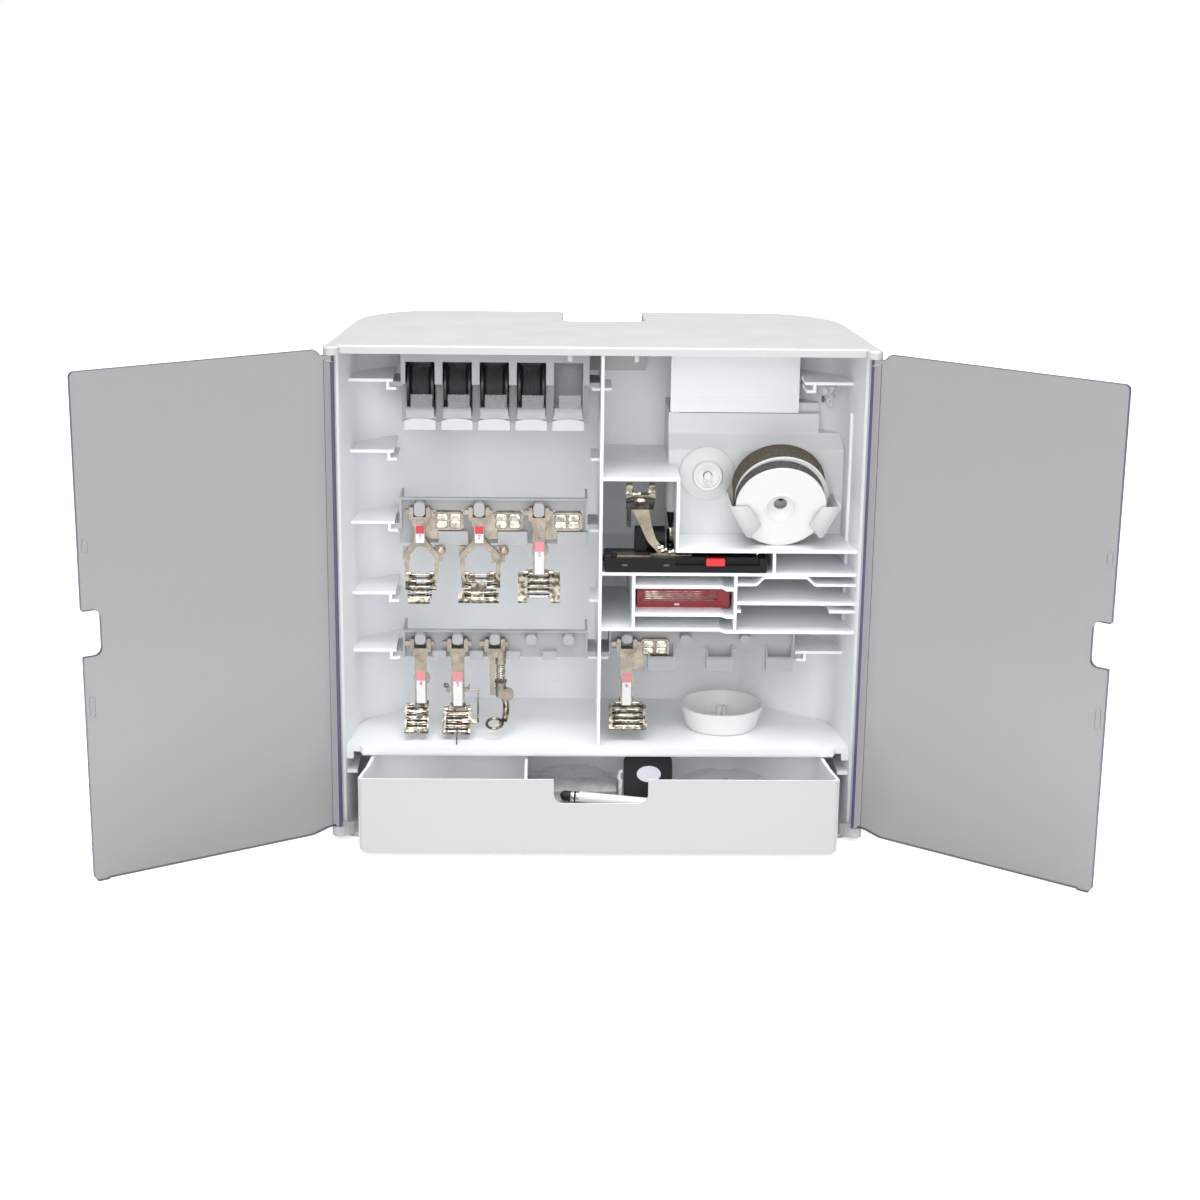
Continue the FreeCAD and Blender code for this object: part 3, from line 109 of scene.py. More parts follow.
def add_surface(name, shells, material, wrap_rows=False, smooth=True, uv=False):
    """One object from closed shells, each a grid of rings: rings join end to end, or get an end fan each."""
    all_points, all_faces, all_uv, start = [], [], [], 0
    for grid in shells:
        rows, columns = grid.shape[:2]
        points = grid.reshape(-1, 3)
        quads = grid_quads(rows, columns, wrap_rows)
        fans = np.empty((0, 3), dtype=int)
        if not wrap_rows:
            fans = end_fans(rows, columns)
            points = np.vstack([points, grid[0].mean(axis=0), grid[-1].mean(axis=0)])
        triangles = np.vstack([quads[:, [0, 1, 2]], quads[:, [0, 2, 3]], fans])
        if signed_volume(points - points.mean(axis=0), triangles) < 0:
            quads, fans = quads[:, ::-1], fans[:, ::-1]
        all_points.append(points)
        all_faces += (quads + start).tolist() + (fans + start).tolist()
        start += len(points)
        across, along = np.meshgrid(np.linspace(0, 1, columns), np.linspace(0, 1, rows))
        all_uv.append(np.vstack([np.stack([across.ravel(), along.ravel()], axis=-1), [[0.5, 0.0], [0.5, 1.0]]]))
    mesh = bpy.data.meshes.new(name)
    mesh.from_pydata(np.vstack(all_points).tolist(), [], all_faces)
    mesh.polygons.foreach_set("use_smooth", np.full(len(mesh.polygons), smooth))
    if uv:
        corner_points = np.empty(len(mesh.loops), dtype=np.int32)
        mesh.loops.foreach_get("vertex_index", corner_points)
        mesh.uv_layers.new(name="surface").data.foreach_set("uv", np.vstack(all_uv)[corner_points].ravel())
    mesh.update()
    piece = bpy.data.objects.new(name, mesh)
    bpy.context.scene.collection.objects.link(piece)
    mesh.materials.append(material)
    return piece


def axes_along(direction):
    """Three unit axes, the last along the direction."""
    along = np.array(direction, dtype=float)
    along /= np.linalg.norm(along)
    side = np.cross(UP if abs(along[2]) < 0.9 else RIGHT, along)
    side /= np.linalg.norm(side)
    return side, np.cross(along, side), along


def signed_power(wave, power):
    return np.sign(wave) * np.abs(wave) ** power


def ring_angles(count):
    return np.linspace(0, 2 * np.pi, count, endpoint=False)


def line(start, reach, steps):
    """Even points from a start over a reach in mm: start + t reach."""
    return start + np.linspace(0, 1, steps)[:, None] * np.asarray(reach) * MM


def rounded(profile, radius, steps=4):
    """The corners of a profile replaced by short curves: quadratic blends that start a radius away from them."""
    profile = np.asarray(profile, dtype=float)
    corner = profile[1:-1]
    before, after = corner - profile[:-2], profile[2:] - corner
    before_length = np.linalg.norm(before, axis=1, keepdims=True)
    after_length = np.linalg.norm(after, axis=1, keepdims=True)
    reach = np.minimum(radius, 0.45 * np.minimum(before_length, after_length))
    start, end = corner - before / before_length * reach, corner + after / after_length * reach
    t = np.linspace(0, 1, steps)[None, :, None]
    curves = (1 - t) ** 2 * start[:, None] + 2 * t * (1 - t) * corner[:, None] + t**2 * end[:, None]
    return np.vstack([profile[:1], curves.reshape(-1, 2), profile[-1:]])


def turned(profile, origin, direction, steps, rounding=0.0):
    """Profile (radius, height) in mm turned about an axis: origin + r cos t side + r sin t up + h along."""
    side, up, along = axes_along(direction)
    profile = rounded(profile, rounding) if rounding else np.asarray(profile, dtype=float)
    turn = ring_angles(steps)
    radial = np.cos(turn)[:, None] * side + np.sin(turn)[:, None] * up
    return origin + (profile[:, 0, None, None] * radial[None] + profile[:, 1, None, None] * along) * MM


def swept(path, half, hint, power=1.0, sides=12):
    """Superellipse ring carried along a path: a cos^p t to the side and b sin^p t across it, half being (a, b)."""
    path = np.asarray(path, dtype=float)
    tangent = np.gradient(path, axis=0)
    tangent /= np.linalg.norm(tangent, axis=1, keepdims=True)
    side = np.cross(tangent, np.asarray(hint, dtype=float))
    side /= np.linalg.norm(side, axis=1, keepdims=True)
    angle = ring_angles(sides)[:, None]
    first, second = (
        np.broadcast_to(np.asarray(part, dtype=float) * MM, (len(path),))[:, None, None]
        for part in (half if isinstance(half, tuple) else (half, half))
    )
    across = signed_power(np.sin(angle), power) * np.cross(tangent, side)[:, None] * second
    return path[:, None] + signed_power(np.cos(angle), power) * side[:, None] * first + across


def smooth_path(points, steps):
    """Catmull-Rom curve through the points: a cubic in s between each pair, with slopes from their neighbours."""
    points = np.asarray(points, dtype=float)
    points = np.vstack([2 * points[0] - points[1], points, 2 * points[-1] - points[-2]])
    t = np.linspace(0, len(points) - 3, steps)
    i = np.minimum(t.astype(int), len(points) - 4)
    s = (t - i)[:, None]
    a, b, c, d = (points[i + k] for k in range(4))
    return 0.5 * (2 * b + (c - a) * s + (2 * a - 5 * b + 4 * c - d) * s**2 + (3 * b - a - 3 * c + d) * s**3)


def helix(origin, direction, radius, pitch, turns, per_turn=40, start=0.0):
    """Helix path: R cos a side + R sin a up, rising by the pitch each turn."""
    side, up, along = axes_along(direction)
    angle = np.linspace(0, 2 * np.pi * turns, int(turns * per_turn) + 1)
    ring = np.cos(angle + start)[:, None] * side + np.sin(angle + start)[:, None] * up
    return origin + ring * radius * MM + along * (pitch * MM * angle / (2 * np.pi))[:, None]


def pillow(centre, half, power=0.3, rows=20, columns=32):
    """Superellipsoid: a c(v)c(u), b c(v)s(u), c s(v), where c and s are signed powers of cosine and sine."""
    v = np.linspace(-np.pi / 2 + 0.004, np.pi / 2 - 0.004, rows)[:, None]
    u = ring_angles(columns)[None, :]
    ring = signed_power(np.cos(v), power)
    x, y = ring * signed_power(np.cos(u), power), ring * signed_power(np.sin(u), power)
    z = signed_power(np.sin(v), power) * np.ones_like(u)
    return centre + np.stack([x, y, z], axis=-1) * mm(*half)


def plate(corners, depth, thick, bevel=0.25):
    """Upright plate over (x, z) corners in mm: rings of its outline, shrunk towards the middle at both faces."""
    corners = np.asarray(corners, dtype=float)
    middle = corners.mean(axis=0)
    small = 1 - bevel / np.linalg.norm(corners - middle, axis=1).mean()
    rings = []
    for step, scale in ((0.0, small), (bevel, 1.0), (thick - bevel, 1.0), (thick, small)):
        flat = middle + (corners - middle) * scale
        rings.append(at(0, depth + step, 0) + np.column_stack([flat[:, 0], 0 * flat[:, 0], flat[:, 1]]) * MM)
    return np.array(rings)


def waves(a, b, seed, count, size):
    """Sum of sine waves over two parameters with seeded directions and phases, each weaker than the last."""
    rng = np.random.default_rng(seed)
    total = np.zeros(np.broadcast(a, b).shape)
    for step in range(count):
        along, across = rng.normal(0, size * (1 + 0.5 * step), 2)
        total = total + np.sin(along * a + across * b + rng.uniform(0, 2 * np.pi)) / (1 + 0.5 * step)
    return total / count


# Materials


def add_node(tree, kind, inputs=None, operation=None):
    """New shader node, whose outputs are handed back: sockets are linked to its inputs, other values set there."""
    node = tree.nodes.new("ShaderNode" + kind)
    if operation:
        node.operation = operation
    for key, value in (inputs or {}).items():
        if isinstance(value, bpy.types.NodeSocket):
            tree.links.new(value, node.inputs[key])
        else:
            node.inputs[key].default_value = value
    return node.outputs


def coordinates(tree, stretch=(1, 1, 1)):
    place = add_node(tree, "TexCoord")["Object"]
    return add_node(tree, "Mapping", {"Vector": place, "Scale": stretch})["Vector"]


def new_material(name, stretch=(1, 1, 1)):
    """New material, its shader and its Object coordinates."""
    material = bpy.data.materials.new(name)
    material.use_nodes = True
    tree = material.node_tree
    tree.nodes.clear()
    shader = tree.nodes.new("ShaderNodeBsdfPrincipled")
    add_node(tree, "OutputMaterial", {"Surface": shader.outputs["BSDF"]})
    return material, shader, coordinates(tree, stretch)


def component(vector, axis):
    return add_node(vector.id_data, "SeparateXYZ", {"Vector": vector})[axis]


def noise(vector, scale, detail=3.0, roughness=0.55):
    inputs = {"Vector": vector, "Scale": scale, "Detail": detail, "Roughness": roughness}
    return add_node(vector.id_data, "TexNoise", inputs)["Fac"]


def spread(value, low, high, start=0.3, end=0.7):
    """Maps the start to end part of a value onto a range."""
    inputs = {"Value": value, "From Min": start, "From Max": end, "To Min": low, "To Max": high}
    return add_node(value.id_data, "MapRange", inputs)["Result"]


def mask(value, start, end):
    """0 before the start, 1 past the end of a value's ramp."""
    return spread(value, 0.0, 1.0, start, end)


def combine(operation, first, second):
    return add_node(first.id_data, "Math", {0: first, 1: second}, operation)["Value"]


def blend(factor, first, second):
    """Mix of two colours or sockets by a factor."""
    mix = factor.id_data.nodes.new("ShaderNodeMix")
    mix.data_type = "RGBA"
    for key, kind, value in (("Factor", "VALUE", factor), ("A", "RGBA", first), ("B", "RGBA", second)):
        socket = next(s for s in mix.inputs if s.name == key and s.type == kind)
        if isinstance(value, bpy.types.NodeSocket):
            factor.id_data.links.new(value, socket)
        else:
            socket.default_value = (*value[:3], 1)
    return next(s for s in mix.outputs if s.type == "RGBA")


def clouded(factor, colour, low, high):
    """Blend of two shades of one colour."""
    return blend(factor, *(tuple(min(1.0, channel * share) for channel in colour[:3]) for share in (low, high)))


def feed(shader, tint, gloss, height, strength, distance, alpha=None):
    """Links colour, gloss, relief and, where it is given, alpha to the shader."""
    tree = shader.id_data
    relief = add_node(tree, "Bump", {"Strength": strength, "Distance": distance, "Height": height})["Normal"]
    for key, socket in (("Base Color", tint), ("Roughness", gloss), ("Normal", relief), ("Alpha", alpha)):
        if socket is not None:
            tree.links.new(socket, shader.inputs[key])


def shader_of(material):
    return next(node for node in material.node_tree.nodes if node.type == "BSDF_PRINCIPLED")


def paint_over(material, cover, colour):
    """Lays another colour over a material's own where the cover is 1."""
    target = shader_of(material).inputs["Base Color"]
    material.node_tree.links.new(blend(cover, target.links[0].from_socket, colour), target)


def plastic(name, colour, roughness, grain=2400.0, depth=0.00003, cloud=0.03, specular=0.5):
    """Moulded plastic: fine spark-eroded grain, faint flow clouds in colour and gloss."""
    material, shader, vector = new_material(name)
    shader.inputs["Specular IOR Level"].default_value = specular
    tint = clouded(noise(vector, 14.0, 2.0), colour, 1 - cloud, 1 + cloud)
    gloss = spread(noise(vector, 60.0), roughness - 0.06, roughness + 0.06)
    feed(shader, tint, gloss, noise(vector, grain, 2.0), 0.35, depth)
    return material


def plated(name, colour, roughness, spots=170.0, contrast=0.4):
    """Plated metal: cloudy tarnish, fine polishing scratches and uneven gloss."""
    material, shader, vector = new_material(name)
    shader.inputs["Metallic"].default_value = 1.0
    tint = clouded(mask(noise(vector, spots, 4.0), 0.36, 0.64), colour, 1 - contrast, 1 + contrast)
    gloss = spread(noise(vector, 420.0), max(0.02, roughness - 0.08), roughness + 0.12)
    scratches = noise(coordinates(shader.id_data, (1.0, 1.0, 0.08)), 2600.0, 2.0)
    feed(shader, tint, gloss, scratches, 0.3, 0.00003)
    return material


def smoked_sheet(name, look, opening, side):
    """Smoked sheet: cut edges, told from the faces by their own normals, are bluer; the hinge flange is painted
    paler, standing in for the lit white wall edge seen through it.
    """
    material, shader, vector = new_material(name)
    tree = shader.id_data
    outward = (side * math.sin(opening), -math.cos(opening), 0.0)
    inward = (-outward[0], -outward[1], 0.0)
    normal = add_node(tree, "TexCoord")["Normal"]
    facing = add_node(tree, "VectorMath", {0: normal, 1: outward}, "DOT_PRODUCT")["Value"]
    face = mask(add_node(tree, "Math", {0: facing}, "ABSOLUTE")["Value"], 0.55, 0.9)
    hinge = float(np.dot(at(side * HINGE_X, HINGE_DEPTH, 0), inward))
    height = add_node(tree, "VectorMath", {0: vector, 1: inward}, "DOT_PRODUCT")["Value"]
    flange = mask(height, hinge + 2.2 * MM, hinge + 2.5 * MM)
    sheet = blend(face, look.edge, clouded(noise(vector, 5.0, 1.0), look.tint, 0.93, 1.07))
    # The flange's wide faces are painted paler: painted light from the brightly lit wall edge seen through them.
    tint = blend(flange, sheet, blend(face, look.flange, look.edge))
    dense = [look.edge_opacity] * 3
    alpha = blend(flange, blend(face, dense, [look.opacity] * 3), dense)
    gloss = spread(noise(vector, 25.0), 0.14, 0.26)
    feed(shader, tint, gloss, noise(vector, 9.0, 1.0), 0.05, 0.0004, alpha)
    return material


def clear_film(name, colour, opacity, crease, depth=0.001):
    """Clear film: see-through where flat and whiter along its creases."""
    material, shader, vector = new_material(name)
    folds = noise(vector, crease, 4.0, 0.6)
    gloss = spread(noise(vector, 90.0), 0.06, 0.2)
    alpha = spread(folds, opacity * 0.45, min(1.0, opacity * 1.6))
    feed(shader, clouded(folds, colour, 0.75, 1.0), gloss, folds, 0.5, depth, alpha)
    return material


def spun_thread(name, colour):
    """Spun thread: dull fibres with a fine twist across the winding."""
    material, shader, vector = new_material(name, (2.5, 1.0, 1.0))
    shader.inputs["Sheen Weight"].default_value = 0.25
    fibres = noise(vector, 2200.0, 2.0)
    feed(shader, clouded(fibres, colour, 0.4, 2.2), spread(fibres, 0.34, 0.55), fibres, 0.5, 0.00006)
    return material


def open_foam(name, colour, speck):
    """Open-cell foam: cells painted dark as the shade in its open pores, between lighter strands."""
    material, shader, vector = new_material(name)
    cells = add_node(shader.id_data, "TexVoronoi", {"Vector": vector, "Scale": 1100.0})["Distance"]
    strands = mask(cells, 0.25, 0.75)
    # The cells are painted darker as the shade inside the open pores.
    tint = blend(mask(noise(vector, 1500.0, 1.0), 0.62, 0.72), clouded(strands, colour, 0.5, 1.3), speck)
    feed(shader, tint, spread(strands, 0.8, 1.0), cells, 0.9, 0.0006)
    return material


def printed_label(name, upper, lower, split):
    """Coated paper: one colour above the split of the UV height, another below, with faint grain."""
    material, shader, vector = new_material(name)
    height = component(add_node(shader.id_data, "TexCoord")["UV"], "Y")
    grain = noise(vector, 1200.0)
    paper, ink = clouded(grain, lower, 0.94, 1.05), clouded(grain, upper, 0.92, 1.08)
    tint = blend(mask(height, split - 0.01, split + 0.01), paper, ink)
    feed(shader, tint, spread(grain, 0.3, 0.45), grain, 0.1, 0.00002)
    return material


# Pieces


def dress(material, *nodes):
    """Gives carried-over nodes a material through their own slots."""
    for node in nodes:
        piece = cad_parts[node]
        if not piece.material_slots:
            piece.data.materials.append(material)
        for place in piece.material_slots:
            place.material = material


def put(name, shells, material, finish, node=None, body="case", **form):
    """Adds a piece that rides on a body and hides the node it stands for, where one is given."""
    if isinstance(material, str):
        material = bpy.data.materials[material]
    piece = add_surface(name, shells, material, **form)
    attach(piece, body)
    if node:
        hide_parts(node)
    return piece


# Settings


def colour_property(name, value, description):
    return FloatVectorProperty(
        name=name, description=description, default=value, size=3, min=0.0, max=1.0, subtype="COLOR"
    )


def length_property(name, value, description):
    return FloatProperty(name=name, description=description, default=value, unit="LENGTH", subtype="DISTANCE")


def share_property(name, value, description):
    return FloatProperty(name=name, description=description, default=value, min=0, max=1)


def angle_property(name, degrees, description):
    return FloatProperty(name=name, description=description, default=math.radians(degrees), unit="ROTATION")


def power_property(name, value, description):
    return FloatProperty(name=name, description=description, default=value, unit="POWER")


class CaseLook(bpy.types.PropertyGroup):
    """Colours and gloss of the moulded parts"""

    # Painted light: the shell's white is painted darker and the liner's white lighter, since the lamps fall full on
    # the outer faces and less deep inside.
    white: colour_property("Case white", (0.545, 0.545, 0.54), "Shell, cover and front of the drawer")
    block: colour_property("Block white", (0.71, 0.72, 0.72), "Spool block")
    inner: colour_property("Liner white", (0.905, 0.92, 0.935), "Liner, deck, divider and shelves")
    holder: colour_property("Holder grey", (0.42, 0.425, 0.435), "Holder plastic in the clip rows")
    key: colour_property("Key white", (0.74, 0.74, 0.75), "Spring keys of the bobbin holder")
    roughness: share_property("Roughness", 0.42, "Gloss of the moulded faces")
    mark_radius: length_property("Wall mark radius", 0.0048, "Faint round ejector mark on the rear wall")


class SheetLook(bpy.types.PropertyGroup):
    """Smoked sheet of the doors"""

    tint: colour_property("Tint", (0.135, 0.130, 0.132), "Colour of the sheet seen face on")
    edge: colour_property("Edge", (0.085, 0.08, 0.165), "Colour of the cut edges")
    # Painted light: the flange's pale colour stands in for the brightly lit wall edge seen through it.
    flange: colour_property("Flange", (0.50, 0.475, 0.50), "Colour of the wide faces of the hinge flange")
    opacity: share_property("Opacity", 0.52, "Share of light the faces stop")
    edge_opacity: share_property("Edge opacity", 0.93, "Share of light the cut edges stop")
    left_opening: angle_property("Left opening", 149.0, "Angle of the left door at rest")
    right_opening: angle_property("Right opening", 143.6, "Angle of the right door at rest")


class ToolLook(bpy.types.PropertyGroup):
    """Colours and sizes of the stored tools"""

    nickel: colour_property("Nickel", (0.37, 0.325, 0.265), "Plated steel of the feet")
    bright: colour_property("Bright metal", (0.66, 0.62, 0.53), "Polished small parts")
    gloss_black: colour_property("Gloss black", (0.009, 0.009, 0.010), "Bobbins and sledge")
    thread: colour_property("Thread", (0.018, 0.018, 0.020), "Wound thread")
    thread_turns: IntProperty(
        name="Thread turns", description="Visible turns on a bobbin", default=14, min=12, max=30
    )
    thread_radius: length_property("Thread radius", 0.00041, "Radius of the wound thread")
    label_red: colour_property("Label red", (0.62, 0.045, 0.07), "Upper field of two labels")
    label_pink: colour_property("Label pink", (0.72, 0.26, 0.30), "Upper field of the other labels")
    slider_red: colour_property("Slider red", (0.75, 0.03, 0.03), "Slider of the sledge foot")
    case_red: colour_property("Needle case red", (0.30, 0.018, 0.03), "Needle case")
    foam_dark: colour_property("Charcoal foam", (0.075, 0.073, 0.075), "Front foam disc")
    foam_olive: colour_property("Olive foam", (0.105, 0.088, 0.062), "Rear foam disc")
    foam_grain: length_property("Foam grain", 0.0002, "Height of the rough skin on the foam discs")


class StageLook(bpy.types.PropertyGroup):
    """Camera, lamps and surroundings"""

    lens: FloatProperty(name="Lens", description="Focal length in millimetres", default=69.44)
    camera: FloatVectorProperty(
        name="Camera place", description="Position of the camera", default=(-0.0330, -1.3994, 0.5403),
        unit="LENGTH", subtype="XYZ",
    )
    angles: FloatVectorProperty(
        name="Camera angles", description="Pitch down, yaw to the right and roll",
        default=(math.radians(16.168), math.radians(1.405), math.radians(0.736)), subtype="EULER",
    )
    ambient: FloatProperty(name="Ambient", description="Strength of the surroundings' light", default=0.22)
    top_power: power_property("Top lamp", 40.0, "Power of the lamp above")
    key_power: power_property("Key lamps", 10.2, "Power of each lamp by the camera")
    front_power: power_property("Front lamps", 6.2, "Power of each front lamp")
    floor_glow: share_property("Floor glow", 0.62, "White the camera alone sees on the floor")


class BoxSettings(bpy.types.PropertyGroup):
    """All settings of the accessory box"""

    case: PointerProperty(type=CaseLook, name="Case", description="Moulded parts")
    sheet: PointerProperty(type=SheetLook, name="Doors", description="Smoked sheet")
    tool: PointerProperty(type=ToolLook, name="Tools", description="Stored tools")
    stage: PointerProperty(type=StageLook, name="Stage", description="Camera and lamps")


# Operators

LAMPS = (
    # name, place, height of the spot it faces, edge length, its power setting, share of that power
    ("lamp_top", (0.0, -0.3, 1.8), 0.2, 1.5, "top_power", 1.0),
    ("lamp_high", (-0.1, -1.8, 1.4), 0.16, 1.4, "key_power", 1.0),
    ("lamp_low", (0.0, -2.3, 0.5), 0.16, 1.2, "key_power", 1.3),
    ("lamp_left", (-1.1, -2.1, 1.25), 0.16, 1.1, "front_power", 1.0),
    ("lamp_right", (1.3, -1.9, 0.9), 0.16, 1.1, "front_power", 0.8),
)


def hold(name, data, axes, place):
    """Object at a place with the given right, up and backward axes."""
    holder = bpy.data.objects.new(name, data)
    bpy.context.scene.collection.objects.link(holder)
    turn = np.column_stack(axes)
    holder.matrix_world = Matrix([[*turn[i], place[i]] for i in range(3)] + [[0, 0, 0, 1]])
    return holder


def add_floor(look):
    """Floor plane as rings: x = r cos t, y = r sin t, z falls a hair below the case's pads."""
    material, shader, vector = new_material("floor_paint")
    tree = shader.id_data
    tint = blend(noise(vector, 3.0, 1.0), (0.79, 0.79, 0.79), (0.81, 0.81, 0.81))
    tree.links.new(tint, shader.inputs["Base Color"])
    shader.inputs["Roughness"].default_value = 0.9
    shader.inputs["Emission Color"].default_value = (1, 1, 1, 1)
    reach = add_node(tree, "VectorMath", {0: vector}, "LENGTH")["Value"]
    white = spread(reach, look.floor_glow, 1.0, 0.5, 1.6)
    glow = combine("MULTIPLY", add_node(tree, "LightPath")["Is Camera Ray"], white)
    tree.links.new(glow, shader.inputs["Emission Strength"])
    top, bottom = -0.02, -0.07
    profile = [(4500.0, bottom), *((r, top) for r in (4500.0, 2000.0, 600.0, 60.0)), (60.0, bottom)]
    add_surface("floor", [turned(profile, np.zeros(3), UP, 96)], material, smooth=False)


def add_world(context, look):
    """White for the camera, and a weak bluish light for everything else."""
    world = bpy.data.worlds.new("surroundings")
    world.use_nodes = True
    tree = world.node_tree
    tree.nodes.clear()
    light = add_node(tree, "Background", {"Color": (0.86, 0.93, 1.0, 1), "Strength": look.ambient})
    seen = add_node(tree, "Background", {"Color": (1, 1, 1, 1), "Strength": 1.0})
    camera_ray = add_node(tree, "LightPath")["Is Camera Ray"]
    mix = {"Fac": camera_ray, 1: light["Background"], 2: seen["Background"]}
    add_node(tree, "OutputWorld", {"Surface": add_node(tree, "MixShader", mix)["Shader"]})
    context.scene.world = world


def add_camera(look):
    """The camera looks along its pitch and yaw, and its own axes are turned by the roll."""
    camera = bpy.data.cameras.new("camera")
    camera.lens = look.lens
    camera.sensor_width = 36
    camera.clip_end = 60
    pitch, yaw, roll = look.angles
    ahead = np.array([math.sin(yaw) * math.cos(pitch), math.cos(yaw) * math.cos(pitch), -math.sin(pitch)])
    right = np.array([math.cos(yaw), -math.sin(yaw), 0.0])
    up = np.cross(right, ahead)
    turned_right = math.cos(roll) * right + math.sin(roll) * up
    turned_up = math.cos(roll) * up - math.sin(roll) * right
    return hold("camera", camera, (turned_right, turned_up, -ahead), look.camera)


class SEWBOX_OT_stage(bpy.types.Operator):
    """Sets up the floor, the white surroundings, the lamps and the camera"""

    bl_idname = "sewbox.stage"
    bl_label = "Build stage"

    def execute(self, context):
        look = context.scene.sewing_box.stage
        add_floor(look)
        add_world(context, look)
        for name, place, aim, size, setting, share in LAMPS:
            lamp = bpy.data.lights.new(name, "AREA")
            lamp.shape = "SQUARE"
            lamp.size = size
            lamp.energy = getattr(look, setting) * share
            hold(name, lamp, axes_along(np.array(place) - (0, 0, aim)), place)
        context.scene.camera = add_camera(look)
        context.scene.view_settings.view_transform = "Standard"
        return {"FINISHED"}


class SEWBOX_OT_case(bpy.types.Operator):
    """Finishes the case, its liner, holders, supports, pads and screws"""

    bl_idname = "sewbox.case"
    bl_label = "Finish case"

    def execute(self, context):
        look = context.scene.sewing_box.case
        gloss = look.roughness
        white = plastic("case_plastic", look.white, gloss)
        dress(white, "base_plate", "housing_shell", "top_cover", "grip_pocket")
        dress(plastic("block_plastic", look.block, gloss), "spool_block")
        tray = plastic("tray_plastic", look.inner, gloss)
        depth = component(coordinates(tray.node_tree), "Y")
        # Painted light: the drawer's front band takes the darker shell white and its inside the lighter liner white,
        # for the lamp light the inside lacks.
        paint_over(tray, spread(depth, 1.0, 0.0, FRONT - 35.2 * MM, FRONT - 34.8 * MM), look.white)
        dress(tray, "drawer_tray")
        inner = plastic("liner_plastic", look.inner, gloss)
        dress(
            inner, "inner_liner", "deck_plate", "centre_divider", "compartment_insert", "drawer_partition",
            "support_left", "support_right", "flat_panel",
        )
        holder = plastic("holder_plastic", look.holder, gloss + 0.05)
        dress(holder, "bobbin_holder", "foot_holder_upper", "foot_holder_lower", "foot_holder_right")
        plastic("key_plastic", look.key, gloss)
        tongue = plastic("key_tongue_plastic", look.key, gloss)
        # The thin upper part of each key lets light through.
        alpha = spread(component(coordinates(tongue.node_tree), "Z"), 0.85, 0.2, 0.2570, 0.2640)
        tongue.node_tree.links.new(alpha, shader_of(tongue).inputs["Alpha"])
        dress(tongue, *("spring_key_%d" % k for k in range(1, 6)))
        dress(plastic("pad_rubber", (0.18, 0.18, 0.185), 0.85, 900.0, 0.0001, 0.1), "rubber_pads")
        dress(plated("screw_zinc", (0.45, 0.45, 0.47), 0.35), "base_screws")
        radius = look.mark_radius / MM
        mark = [(CORE, 0.3), (radius - 0.3, 0.3), (radius, 0.0), (radius, -0.4)]
        put("wall_mark", [turned(mark, at(-27.8, 100.0, 64.4), TOWARDS, 48, 0.2)], inner, "case_white")
        return {"FINISHED"}


class SEWBOX_OT_doors(bpy.types.Operator):
    """Finishes the two smoked doors"""

    bl_idname = "sewbox.doors"
    bl_label = "Finish doors"

    def execute(self, context):
        look = context.scene.sewing_box.sheet
        dress(smoked_sheet("smoked_left", look, look.left_opening, -1), "left_door")
        dress(smoked_sheet("smoked_right", look, look.right_opening, 1), "right_door")
        return {"FINISHED"}


DRUM_RADIUS = 10.1
FLANGE_WIDTH = 1.15
COLLAR = rounded([(9.6, 0.0), (14.75, 0.0), (14.6, 0.25), (10.4, 2.1), (9.6, 2.1)], 0.25)


class SEWBOX_OT_bobbins(bpy.types.Operator):
    """Winds the thread and adds the sloping collars of the bobbins"""

    bl_idname = "sewbox.bobbins"
    bl_label = "Build bobbins"

    def execute(self, context):
        look = context.scene.sewing_box.tool
        black = plastic("bobbin_plastic", look.gloss_black, 0.28, 1200.0, 0.00002, 0.1)
        thread = spun_thread("thread_fibre", look.thread)
        turns, radius = look.thread_turns, look.thread_radius / MM
        for k in range(1, 5):
            node = "bobbin_%d" % k
            dress(black, node)
            centre, size = node_box(node)
            half = size[0] / 2
            pitch = 2 * (half / MM - FLANGE_WIDTH - 0.1) / (turns + 1.2)
            path = helix(centre - mm(pitch * turns / 2, 0, 0), RIGHT, DRUM_RADIUS + radius, pitch, turns)
            winding = swept(path, radius, RIGHT, sides=8)
            put("thread_winding_%d" % k, [winding], thread, "thread_black", "thread_%d" % k)
            collars = [
                turned(COLLAR, centre + (side * (half - FLANGE_WIDTH * MM), 0, 0), (-side, 0, 0), 72)
                for side in (-1, 1)
            ]
            put("bobbin_collars_%d" % k, collars, black, "bobbin_black", wrap_rows=True)
        return {"FINISHED"}


LABEL_DEPTH = 27.4
LABELS = (
    # left, right, bottom, top, share of the upper field, deep red
    (-112.1, -107.0, 180.0, 190.7, 0.46, True),
    (-76.1, -71.0, 180.1, 190.7, 0.46, True),
    (-39.6, -34.2, 160.5, 181.0, 0.30, False),
    (-112.5, -107.1, 77.1, 98.1, 0.30, False),
    (-89.8, -84.2, 75.4, 97.8, 0.29, False),
    (15.0, 20.4, 76.5, 97.6, 0.30, False),
)
NUMERAL_HEIGHT = 2.5
